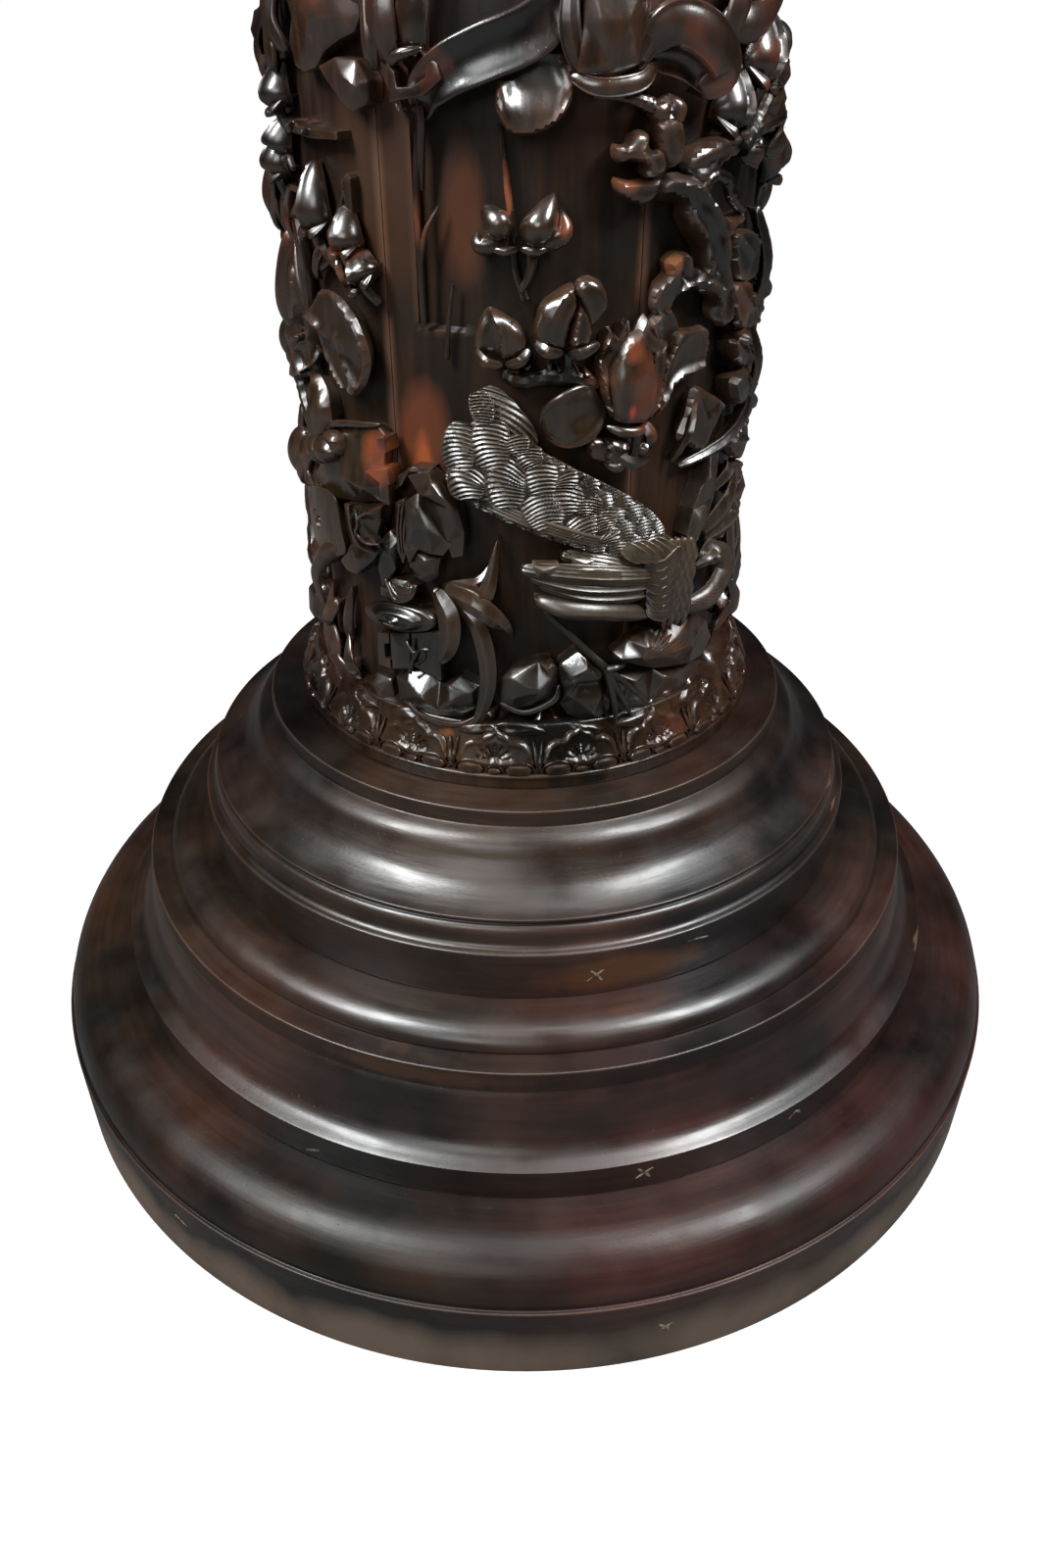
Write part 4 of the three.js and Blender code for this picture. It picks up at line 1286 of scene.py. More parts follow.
lotusLeaf = {
    "holes": [(40, 1.5, 2.6), (45, -1.0, 1.5), (38.5, -4.2, 1.7)],
    "creases": [[(-44, 378), (-42.6, 372), (-42.4, 366), (-40.6, 359), (-37, 357)],
                [(-41.5, 377), (-40.2, 371), (-41.2, 366), (-38.6, 362), (-35.6, 362.5)]],
    "fold": [(-44.5, 379), (-38.5, 381), (-32.5, 384), (-33, 377), (-34.5, 369.5), (-34, 362),
             (-36.5, 354.5), (-42, 344), (-45.5, 344), (-48, 347.5), (-43.5, 359), (-44.5, 366.5)],
    "foldFlat": [(-40, 374, 15), (-37, 378, 16), (-37, 367, 13), (-41, 362, 14), (-42, 352, 12),
                 (-38, 360, 10)],
    "upper": [(-45, 381), (-53, 376), (-58, 370), (-57, 382), (-53, 394), (-50, 408.5), (-44, 417),
              (-32, 421), (-30.5, 417.5), (-31, 406.5), (-31.5, 394), (-32.5, 386), (-38, 383)],
    "upperFlat": [(-50, 388, 8), (-44, 392, 10), (-38, 390, 13), (-42, 404, 8), (-36, 402, 10),
                  (-35, 412, 9), (-46, 410, 7)],
    "chips": [[(-33, 415), (-31, 416), (-30.5, 409.5), (-33, 408.5)],
              [(-37, 398.5), (-30.5, 402.5), (-30, 395), (-32.5, 394.5)],
              [(-33, 395), (-30.5, 396), (-30.5, 385), (-33, 386)]],
}


def wormHoles(x, y, share, t):
    sunk = 0 * x
    for along, aside, size in lotusLeaf["holes"]:
        sunk = sunk - 5 * np.exp(-(((x - along) ** 2 + (y - aside) ** 2) / (size * 0.8) ** 2) ** 2)
    return sunk + 0.3 * ripple(x, y * 0.7, 6.5, 5)


def makeCurledLeaf():
    leaf = Carving()
    leaf.leaf(seen([(-71, 352), (-61, 360), (-52, 366), (-44, 368)]), [3, 8, 11, 12], 17, (0.3, 0.16),
              cup=-1.0, thick=5, rows=80, cols=56, engrave=wormHoles)
    leaf.planed(lotusLeaf["fold"], lotusLeaf["foldFlat"], rim=10, foot=3)
    for path in lotusLeaf["creases"]:
        leaf.leaf(seen(path, 15), [13.6, 15.5, 15, 14, 12], 0.8, (0.25, 0.35), dome=0.8, thick=4, rows=40,
                  cols=4)
    leaf.planed(lotusLeaf["upper"], lotusLeaf["upperFlat"], rim=6, foot=0)
    leaf.leaf(seen([(-51, 409), (-44, 417.5), (-32, 421.5)], 8), [6, 9, 7], 1.6, (0.3, 0.3), dome=1, thick=5,
              rows=24, cols=6)
    for chip in lotusLeaf["chips"]:
        leaf.planed(chip, rim=13.5, foot=3)
    leaf.leaf(seen([(-45, 359), (-53, 347), (-58.5, 331), (-60, 309)]), [8, 11, 10, 6], 5.2, (0.3, 0.5),
              dome=1, ridge=3, rows=34)
    leaf.leaf(seen([(-58, 345), (-62, 366), (-60, 386), (-54, 404)]), [5, 8, 8, 5], 1.8, (0.3, 0.3),
              dome=1.2, rows=30)
    leaf.leaf(seen([(-62, 352), (-60, 372), (-57, 380)], 9), [7, 9, 7], 1.2, (0.3, 0.3), dome=1, rows=24,
              cols=6)
    leaf.place(-49, 396, 10, out=10)
    leaf.leaf([(0, 0), (0, 7), (1, 14)], [9, 10, 8], 9.5, (0.42, 0.45), dome=6, thick=9, rows=24, cols=18)
    leaf.leaf([(-2, 0), (-5, 7), (-2, 14)], [9, 11, 8], 6.5, (0.42, 0.45), dome=6, thick=9, rows=24, cols=14)
    finished(leaf, "curled_lotus_leaf", "curled_leaf")


# Each blade: its path, half its width, and its height out.
iris = {
    "blades": [
        ([(-46.5, 279), (-47.5, 292), (-49.5, 305)], 5, 9), ([(-49, 278), (-54, 286), (-56, 294)], 5, 8),
        ([(-51, 300), (-49, 316), (-48, 332)], 4, 5), ([(-61, 262), (-62, 285), (-60, 312)], 5, 7),
        ([(-66, 260), (-68, 290), (-64, 322)], 5, 7), ([(-70, 340), (-66, 352), (-63, 362)], 6, 6),
        ([(-62, 312), (-66, 300), (-74, 284)], 5, 8), ([(-66, 330), (-70, 336), (-76, 340)], 5, 8),
    ],
    "stones": [(-52, 282, (12, 9), 10), (-66, 275, (16, 12), 11)],
}


def makeIris():
    clump = Carving()
    for path, half, lift in iris["blades"]:
        clump.leaf(seen(path), [lift * 0.5, lift, lift * 0.6], half, (0.45, 0.75), ridge=2.4, dome=1,
                   thick=5)
    for k, (angle, height, half, proud) in enumerate(iris["stones"]):
        clump.place(angle, height, out=6).rock(half, proud, seed=52 + k, facets=12, ease=0.7)
    finished(clump, "iris_leaves", "iris_clump")


leftForms = {
    "leaf": [(-46, 474), (-40.5, 473.5), (-36.5, 467), (-34, 458), (-33, 450), (-34.6, 439), (-38, 432),
             (-41.5, 432), (-44.5, 435.5), (-47, 442), (-49.5, 448), (-50, 455.5), (-51.5, 462),
             (-48.5, 469.5)],
    "leafFlat": [(-40, 466, 11), (-37, 455, 11), (-37, 443, 10), (-44, 449, 6), (-43, 441, 7),
                 (-46, 466, 10)],
    "bud": [(-51.5, 436), (-55.5, 430), (-59, 422), (-60, 412), (-58.5, 406), (-54, 403), (-50, 404.5),
            (-47.5, 410), (-46, 418), (-46.6, 427), (-49, 433)],
    "long": [(-53, 482), (-53, 473), (-53.5, 463.5), (-55.5, 455), (-60.5, 449), (-65, 448), (-70, 453),
             (-70, 464), (-66, 474), (-64, 486)],
    "cup": [(-50.5, 457.5), (-55, 454), (-61, 449.5), (-66, 444), (-69, 436), (-67, 428), (-62.5, 428),
            (-58.5, 433), (-55.5, 441), (-52.5, 449.5)],
    "leafFolds": [([(-51.5, 462.5), (-47.5, 459), (-45.6, 454.5)], 3.6, 2.2),
                  ([(-41.5, 456), (-42, 448), (-39, 443.5), (-37, 437)], 2.6, 2.6),
                  ([(-49.4, 454), (-47, 442), (-42.5, 433.6)], 1.6, 1.3),
                  ([(-40.5, 472), (-35.6, 461), (-34, 448), (-36, 437)], 1.2, 1.3)],
    "stalk": [(-50, 402), (-49, 425), (-51, 445), (-50, 475), (-52, 500)],
    "buds": [(-47.5, 497, 10.5, 27, 4), (-38.5, 491, 9.5, 18, 6), (-34, 479, 10, 15, 30),
             (-61, 515, 9, 18, -8)],
    "sepals": [(-44, 490, 40, 20), (-47, 486, -30, 22), (-40, 484, 10, 16), (-57, 500, 4, 26)],
    "cap": [(-60, 509), (-58.5, 511), (-52, 509), (-53.5, 500), (-57, 498.5)],
    "thorn": [(-36.8, 518), (-35.2, 521), (-34.4, 519), (-34.6, 506), (-36.2, 506)],
    "seed": [(-50, 411), (-46.5, 413.5), (-43.5, 412), (-42.8, 406), (-45, 401), (-49.5, 400.5), (-52, 405)],
}


def makePetalLeft():
    group = Carving()
    form = leftForms
    group.moulded(form["long"], [(-60, 466, 12)], rim=7,
                  lines=[([(-60, 484), (-60, 466), (-62, 452)], 1.6, 2.5)])
    group.moulded(form["cup"], [(-63, 437, 3), (-60, 443, 3)], rim=11.5, around=3, reach=1.5, pitch=1.4)
    group.moulded(form["leaf"], form["leafFlat"], rim=9.5, reach=1.4, side=0.8, tuck=5, around=4.5,
                  pitch=1.4, lines=form["leafFolds"])
    group.moulded(form["bud"], [(-52, 418, 14), (-53, 409, 13), (-51.5, 430, 10)], rim=8, reach=7,
                  lines=[([(-51.5, 435), (-52.5, 420), (-52, 406)], 1.3, 1.4)])
    group.moulded(form["seed"], [(-47, 407, 14)], rim=9, reach=5,
                  steps=[([(-49, 412), (-47, 409), (-43, 409)], 1.4)], pitch=1.3)
    group.stem([(-70, 426), (-67, 416), (-62, 404), (-56, 397)], 6, [4.5, 4, 4, 3.5], bark=0.15, rows=30)
    group.leaf(seen([(-61, 449), (-60.5, 466), (-59, 494)]), [4, 8, 5], 5.5, (0.35, 0.35), dome=4, ridge=2,
               thick=6)
    group.leaf(seen([(-53, 458), (-54.5, 474), (-56.5, 494)]), [4, 8, 5], 3.6, (0.35, 0.35), dome=2, thick=6)
    group.leaf(seen([(-72, 448), (-70, 462), (-68, 486)]), [3, 6, 4], 9, (0.4, 0.5), dome=4, thick=6)
    group.leaf(seen([(-52, 446), (-62, 438), (-76, 424)]), [3, 7, 6], 6, (0.4, 0.6), cup=2.5, rim=1)
    group.place(-66, 404, -60, out=9)
    foldedLeaf(group, 6, 26, 10)
    group.home()
    group.stem(form["stalk"], 5, [3, 3.4, 3.2, 3, 2.6], bark=0.2, rows=30)
    for angle, height, half, tall, turn in form["buds"]:
        group.place(angle, height, turn, out=9)
        bud(group, half, tall, 14)
    for angle, height, turn, length in form["sepals"]:
        group.place(angle, height, turn, out=7)
        group.leaf([(0, -length / 2), (1, 0), (0, length / 2)], [4, 7, 4], 2.6, (0.4, 0.6), ridge=1.4,
                   thick=4)
    group.home()
    group.moulded(form["cap"], rim=6)
    group.planed(form["thorn"], rim=5)
    group.stem([(-46, 482), (-41, 489), (-37.5, 508), (-36, 516)], 4, [2, 2, 1.7, 1.3])
    finished(group, "left_blossoms", "petal_left")


pairedBuds = {
    "small": [(-7, 475), (-8.5, 471.5), (-9.5, 466), (-10, 460.5), (-9.5, 457), (-7, 455), (-4.5, 454.5),
              (-2, 455), (-0.5, 457), (0.5, 460.5), (0, 465), (-1, 468.5), (-3, 471.5), (-5, 473.8)],
    "smallFlat": [(-7, 463, 12.5), (-2.2, 463, 14), (-7, 457, 10), (-2, 457, 12)],
    "smallLap": [(-7.2, 475.5), (-5.5, 471), (-4.5, 464), (-4.2, 454)],
    "left": [(9, 484), (6, 481.5), (3, 477), (2, 471), (1.5, 465), (2.5, 460.5), (4.5, 459), (7.5, 458.5),
             (8.2, 463), (8.8, 469), (10, 476)],
    "leftFlat": [(4.5, 467, 14.5), (6.5, 476, 13), (5, 461, 12), (7.5, 470, 15)],
    "right": [(9.6, 485), (11.5, 486.8), (14, 485), (15.5, 480.5), (16, 475), (14.8, 470.5), (13.5, 467.5),
              (12, 466.5), (11.2, 472), (9.8, 478), (9, 481)],
    "rightFlat": [(13, 480, 14), (14, 474, 12), (11, 483, 12.5)],
    "inner": [(10.2, 478), (8.6, 468.5), (8.2, 461.5), (9, 459), (12, 459.5), (13, 464), (12.6, 470.5),
              (11, 476)],
    "innerFlat": [(10.2, 468, 12.5), (10.5, 462, 13)],
    "sepals": [([(-10, 457.5), (-7.5, 453.5), (-4.4, 451.6)], 2.0),
               ([(-3.9, 451.2), (-1, 454), (0.9, 458.6)], 2.2),
               ([(2, 461), (4.3, 457.8), (7.6, 456.2)], 2.4), ([(8.6, 455), (11, 456.6), (15, 459.4)], 2.3)],
    "twig": [(-4.4, 449), (-1, 446.5), (3, 447.5), (8, 447), (14.5, 444.5)],
    "knots": [(-2, 449.5), (0.5, 451.5), (1.5, 448.5), (5, 450), (7, 448.5), (10.5, 448.5), (12.5, 447.5)],
}


def makeBudPair():
    buds = Carving()
    form = pairedBuds
    buds.moulded(form["small"], form["smallFlat"], rim=9, steps=[(form["smallLap"], 3.4)],
                 lines=[(form["smallLap"], 1.3, 1.4)], pitch=1.2)
    buds.moulded(form["inner"], form["innerFlat"], rim=9,
                 lines=[([(10.4, 477), (9.6, 468), (9.2, 461)], 1.4, 1.0)], pitch=1.2, reach=3)
    buds.moulded(form["left"], form["leftFlat"], rim=9, pitch=1.3,
                 lines=[([(9, 483.5), (6.5, 478.5), (4.5, 471.5)], 1.4, 1.6)])
    buds.moulded(form["right"], form["rightFlat"], rim=8, pitch=1.3)
    for path, half in form["sepals"]:
        buds.leaf(seen(path, 13), [9, 13.5, 11], half, (0.35, 0.4), dome=1.6, rim=0.5, thick=7, rows=24,
                  cols=10)
    buds.stem([(8.5, 457), (8.4, 452), (8, 446)], 7, [2.4, 1.9, 2.2], rows=12)
    buds.stem(form["twig"], 5, [2.6, 3.6, 3.4, 3.6, 3], bark=0.3, rows=30, seed=3)
    for k, (angle, height) in enumerate(form["knots"]):
        buds.place(angle, height, k * 23, out=8).rock((3.2, 2.4), 9.5, seed=60 + k, facets=7, ease=0.3)
    finished(buds, "paired_buds", "bud_pair")


openBloom = {
    "front": [(23, 464), (20, 460.5), (18, 453), (17, 444.5), (17.4, 434.5), (18.4, 428), (19.8, 425.5),
              (23, 424.5), (25.5, 425), (27.4, 429), (28, 437), (27, 447.5), (26, 455), (24.5, 461.5)],
    "frontFlat": [(22.5, 459, 14), (19, 452, 14), (25.5, 452, 14.5), (22.5, 445, 18), (22.5, 431, 16),
                  (26.5, 438, 14)],
    "back": [(24, 470), (22.3, 465), (21, 458), (24, 454), (28, 453), (30.2, 456.5), (27.5, 460.5),
             (25.5, 466)],
    "left": [(16.8, 466), (15.2, 459.5), (14.5, 452.5), (15, 443.5), (16.6, 434.5), (18.6, 427), (18.6, 436),
             (18.6, 446), (20.5, 458), (20.4, 468.5), (18.5, 462)],
    "right": [(29.8, 457), (29.6, 443.5), (29, 432), (26.4, 424), (26.5, 436), (26.5, 452), (28, 454)],
    "round": [(25.5, 464), (27.5, 468.5), (30.5, 470.5), (32.8, 466.5), (34, 460), (33.5, 452.5),
              (31.5, 446), (29.5, 446), (28.6, 455), (27, 459)],
    "wide": [(33, 460), (37.5, 460), (42, 459), (43.4, 449.5), (42.5, 441.5), (38, 437), (33.5, 434.5),
             (31, 433), (29.8, 428), (28.2, 424.5), (28.6, 433.5), (29.5, 441), (31, 447)],
    "shut": [(13, 418.5), (15, 420.5), (19.5, 418), (21.8, 412.5), (20, 408), (16.5, 407.5), (13.5, 411)],
}


# The dish of the petal that lies at the bloom's left.
def petalDish(x, y, share, t):
    return -2.4 * np.exp(-((x - 17) / 7) ** 2 - ((y - 1) / 6) ** 2)


def makeBloomRight():
    bloom = Carving()
    form = openBloom
    bloom.moulded(form["back"], [(26, 462, 9), (25, 456, 11)], rim=7)
    bloom.moulded(form["left"], [(16, 452, 8)], rim=10.5, around=2,
                  lines=[([(16.8, 464), (14.9, 452.5), (18, 428)], 2, 1)], pitch=1.3, reach=1.5)
    bloom.moulded(form["right"], rim=10.5, lines=[([(29.8, 456), (29.3, 443), (28, 430)], 1.8, 1)],
                  pitch=1.3, reach=1.5)
    bloom.moulded(form["round"], [(30.5, 458, 5.5), (30.5, 464, 7)], rim=10.5, around=3.2, pitch=1.4,
                  reach=1.2, lines=[([(27.5, 467.5), (30.5, 469.8), (33.4, 460), (32.8, 452.5)], 1.6, 1.2)])
    bloom.moulded(form["wide"], [(36, 447, 6), (39, 452, 8), (35, 442, 6)], rim=11.5, around=5, pitch=1.5,
                  reach=1.6, lines=[([(30, 432), (33, 438), (36, 441), (42, 442.6)], 2.6, 1.8),
                                    ([(34, 459.4), (42, 458), (43, 449)], 1.0, 1.2)])
    bloom.moulded(form["front"], form["frontFlat"], rim=11, foot=3, reach=6, pitch=1.4,
                  lines=[([(23, 463), (19.5, 456), (18, 451)], 0.9, 1.3),
                         ([(23, 463), (26, 454), (27.4, 440)], 0.8, 1.3)])
    bloom.leaf(seen([(24.5, 438), (21, 455), (20.5, 468)], 9), [6, 8, 8], 2.4, (0.35, 0.6), ridge=2, thick=6)
    bloom.moulded(form["shut"], [(17, 414, 11)], rim=8,
                  steps=[([(16.5, 420.5), (17.2, 414), (16.5, 407)], 2.4)], pitch=1.3)
    bloom.leaf(seen([(17, 408), (19.5, 406.4), (21.5, 409)], 10), [8, 11, 9], 2.2, dome=1.2, rows=16)
    bloom.place(9.3, 431, -62, out=8)
    bloom.leaf([(0, -14), (1, 0), (0, 14.5)], [6, 9.5, 6], 12.5, (0.4, 0.36), dome=2.5, rim=1.4, thick=6,
               rows=36, cols=28, engrave=petalDish)
    bloom.home()
    # The bloom's foot: a short stem, a torn sepal and a hollow eye.
    bloom.leaf(seen([(17, 424.5), (20, 422.4), (24, 422), (25.5, 424)], 11), [9, 13, 13, 9], 2.2, dome=1.6,
               rows=24)
    bloom.stem([(23, 424), (23.5, 418), (23, 411)], 9, [2.6, 2.2, 2.4], rows=14)
    bloom.leaf(seen([(26, 424), (27, 417), (26, 409)], 11), [9, 12, 8], 2.6, (0.3, 0.5), ridge=1.5, rows=18)
    bloom.leaf(seen([(18.5, 414), (22, 408.5), (27.5, 407.5)], 10), [8, 12, 9], 2.6, (0.4, 0.4), ridge=1.0,
               rows=18)
    for angle, height, turn in ((20, 416, 70), (25, 414, -30)):
        bloom.place(angle, height, turn, out=9)
        bloom.leaf([(0, -5), (0, 0), (0, 5)], [8, 11, 8], 2.8, (0.4, 0.7), dome=1.2, ridge=1.6, rows=14,
                   cols=8)
    finished(bloom, "open_magnolia", "bloom_right")


heartLeaf = {
    "outline": [(-5, 551), (-4.6, 557), (-2, 562.5), (1.5, 565), (5, 564), (8, 559.5), (9, 553), (8, 545.5),
                (5, 539.5), (1.5, 536.5), (-2.5, 537), (-4.8, 543)],
    "flat": [(1.6, 560, 5), (1.6, 551, 6.5), (1.6, 541, 15), (-3.5, 541, 15)],
    "rim": [(-3.6, 544), (-3.4, 555), (1, 562.5), (6, 561), (7.8, 552), (5.5, 541.5)],
    "stalk": [(-4.4, 540), (-3.2, 520), (-2.2, 504), (-1.8, 490), (0, 478)],
    "shoot": [(0.8, 497), (1.2, 492), (0.5, 486), (-0.8, 481)],
    "twigs": [([(-3, -10, 3), (0, 2, 3.4), (6, 12, 2)], [1.2, 1.1, 0.6], 20),
              ([(-3, -34, 2), (-3, -10, 3), (-3.4, 14, 3), (-2, 38, 2)], [1.5, 1.4, 1.4, 1.6], 26)],
}


def makeRoundPetal():
    petal = Carving()
    petal.moulded(heartLeaf["outline"], heartLeaf["flat"], rim=12, around=5.5, reach=1.4, side=0.8, tuck=5,
                  pitch=1.4, lines=[(heartLeaf["rim"], 1.0, 1.6)])
    petal.stem(heartLeaf["stalk"], 3, [1.2, 1.5, 1.6, 1.7, 2], bark=0.1, rows=30)
    petal.stem(heartLeaf["shoot"], 5, [2, 2.4, 1.8, 1.4])
    petal.leaf(seen([(-2.4, 502), (-5, 506), (-8, 511.5)], 9), [6, 9, 6], 5.4, (0.45, 0.6), dome=5, thick=6)
    petal.leaf(seen([(-3, 499), (-8, 498), (-9.5, 502)], 7), [4, 5, 4], 4, (0.45, 0.6), dome=4, thick=6)
    petal.leaf(seen([(0, 499), (3, 506), (5.6, 516)], 9), [6, 9, 5], 6.5, (0.4, 0.7), dome=5, ridge=1,
               thick=6)
    petal.leaf(seen([(2, 498), (7, 502), (7, 510)], 8), [4, 6, 4], 4.5, (0.4, 0.7), dome=4, thick=6)
    for side in (-1, 1):
        petal.leaf(seen([(-1, 497), (-1 + side * 3, 496), (-1 + side * 6, 497)], 8), [7, 8, 6], 1.8,
                   dome=1.4, rows=10, cols=6)
    petal.place(-15, 462, -4, out=2)
    petal.branch([(0, -8, 3), (0.5, 8, 3), (1.6, 22, 2)], [1.3, 1.1, 0.7], bark=0.2)
    petal.place(-18.5, 500, 0, out=2)
    for k, (path, radii, rows) in enumerate(heartLeaf["twigs"]):
        petal.branch(path, radii, bark=0.2 + 0.05 * k, rows=rows)
    finished(petal, "heart_leaf", "round_petal")


oldBough = {
    "trunk": [(26.5, 521), (30.5, 521.5), (34, 519), (37, 513), (39, 506.5), (42.5, 503.5), (48, 505),
              (46, 499.5), (42.5, 497), (43.5, 490), (44.5, 480), (46.5, 472), (47, 462), (45, 458.5),
              (42.5, 461), (42, 468.5), (38, 474.5), (34.5, 476.5), (31.5, 475), (30.5, 470), (28, 467),
              (25, 472), (25.5, 479), (28, 484), (27.5, 489), (30, 492.5), (33, 491.5), (34.5, 486),
              (37, 485), (36.5, 491), (35, 495.5), (32, 502), (30.5, 507.5), (30.5, 511.5), (28, 513.5),
              (25.5, 515)],
    "trunkFolds": [([(28, 519), (32.5, 516.5), (36.5, 508), (40, 498), (41, 489), (43, 476.5)], 2.6, 1.5),
                   ([(32, 508.5), (35, 501.5), (37.5, 493), (39.5, 483.5)], -2.2, 1.3),
                   ([(31, 491), (31.6, 483)], -2.2, 1.2), ([(41, 503), (44, 502), (48, 505)], 2, 1.2),
                   ([(31, 478), (36, 481), (41, 476)], 2, 1.3),
                   ([(42, 498), (44, 488), (46, 474), (46, 462)], 1.8, 1.1)],
    "trunkFlat": [(30, 517, 12), (34, 512, 14), (38, 500, 16), (41, 488, 15), (43, 474, 13), (44, 464, 11),
                  (33, 483, 11), (29, 486, 14), (32, 488, 14.5), (27.5, 475, 11), (36, 479, 10),
                  (45.5, 503, 14), (29, 471, 8)],
    "hookHigh": [(16, 532.5), (18.5, 532.5), (20, 537), (22.3, 536), (22.5, 531), (25.5, 531), (26.5, 525),
                 (25, 521.5), (22.5, 520.5), (21.5, 525), (19.5, 526.5), (17, 526), (15.8, 529)],
    "hookHighFlat": [(18, 530, 11), (21, 534, 14), (23, 527, 15), (24, 523, 14)],
    "hookLow": [(16.6, 521), (19.5, 520), (23, 520.5), (26, 521), (26.5, 517.5), (25.5, 513.5), (23, 511),
                (20.5, 511.5), (18, 514), (16.6, 517.5)],
    "upright": [(24, 540), (28.8, 540), (29.8, 531), (28.8, 525), (27, 523), (25, 528), (24, 534)],
    "crown": [(22.3, 545), (24.5, 547), (27, 548.5), (30, 546), (30, 540.5), (28.5, 537), (24.5, 537.5),
              (23, 540.5)],
    "arm": [(31, 520.5), (29.6, 525), (32, 529.5), (35.5, 531.5), (39, 533), (46.5, 534.5), (50, 532),
            (47, 527), (42, 524), (39, 521), (36.5, 517), (34, 516)],
    "armFlat": [(33, 526, 13), (38, 529, 14), (44, 530, 12), (36, 521, 13)],
    "loop": [(38.5, 506), (36.5, 511), (36.5, 516.5), (38.5, 519), (42, 517), (43.5, 512), (45.5, 507.5),
             (48, 504.5)],
    "twigs": [([(45, 528), (50, 534), (60, 537)], [4.5, 4, 3.5]),
              ([(23, 545), (18, 548), (12, 549)], [3, 1.8, 1.2]),
              ([(46, 530), (52, 541), (56, 556)], [3.6, 3, 2.6])],
    "knots": [(46, 532), (50, 529), (53, 536), (42, 531), (56, 533)],
    "leaves": [(50, 524, 80), (55, 541, 100), (58, 551, 60), (57, 562, 20), (60, 526, 110)],
}


def makeBough():
    bough = Carving()
    form = oldBough
    bough.moulded(form["trunk"], form["trunkFlat"], rim=8, foot=2, reach=3, around=4, pitch=1.4, tuck=4,
                  lines=form["trunkFolds"])
    bough.moulded(form["upright"], [(26.5, 532, 15)], rim=10, reach=3, pitch=1.4,
                  lines=[([(26, 538), (27.5, 531), (28, 526)], 1.6, 1.2)])
    bough.moulded(form["crown"], [(25, 543, 13), (28, 544, 13)], rim=9, reach=4, pitch=1.5,
                  lines=[([(26.6, 548), (26.4, 538)], -2, 1.4)])
    bough.moulded(form["hookHigh"], form["hookHighFlat"], rim=9, reach=2.6, around=3, pitch=1.3,
                  lines=[([(21, 536), (20.4, 529), (23, 524)], 1.5, 1.2)])
    bough.moulded(form["hookLow"], [(21.5, 513.5, 12), (21.5, 518.5, 10)], rim=9, reach=4, around=3,
                  pitch=1.4, lines=[([(17.5, 519.4), (21.5, 517.8), (25.6, 519)], 1.8, 1.1)])
    bough.moulded(form["arm"], form["armFlat"], rim=8, reach=4, around=4, pitch=1.6,
                  lines=[([(32, 522), (36, 524), (42, 527.5), (48, 531)], -1.8, 1.6)])
    bough.stem(form["loop"], 11, [2.6, 2.4, 2.6, 2.6, 2.6, 2.8, 2.8, 2], bark=0.12, rows=60, sides=12)
    for k, (path, radii) in enumerate(form["twigs"]):
        bough.stem(path, 9, radii, bark=0.12, rows=36, sides=10, seed=70 + k)
    for k, (angle, height) in enumerate(form["knots"]):
        bough.place(angle, height, k * 37, out=9).rock((4.5, 3.4), 13, seed=80 + k, facets=8, ease=0.8)
    bough.place(44, 534, -8, out=10)
    bud(bough, 10.5, 24, 15)
    bough.place(52, 549, -14, out=9)
    bud(bough, 12, 28, 15)
    for angle, height, turn in form["leaves"]:
        bough.place(angle, height, turn, out=9)
        bough.leaf([(0, -9), (1, 0), (0, 9)], [6, 10, 7], 6, (0.45, 0.6), dome=2, ridge=1.5, rim=1)
    finished(bough, "gnarled_bough", "plum_bough")


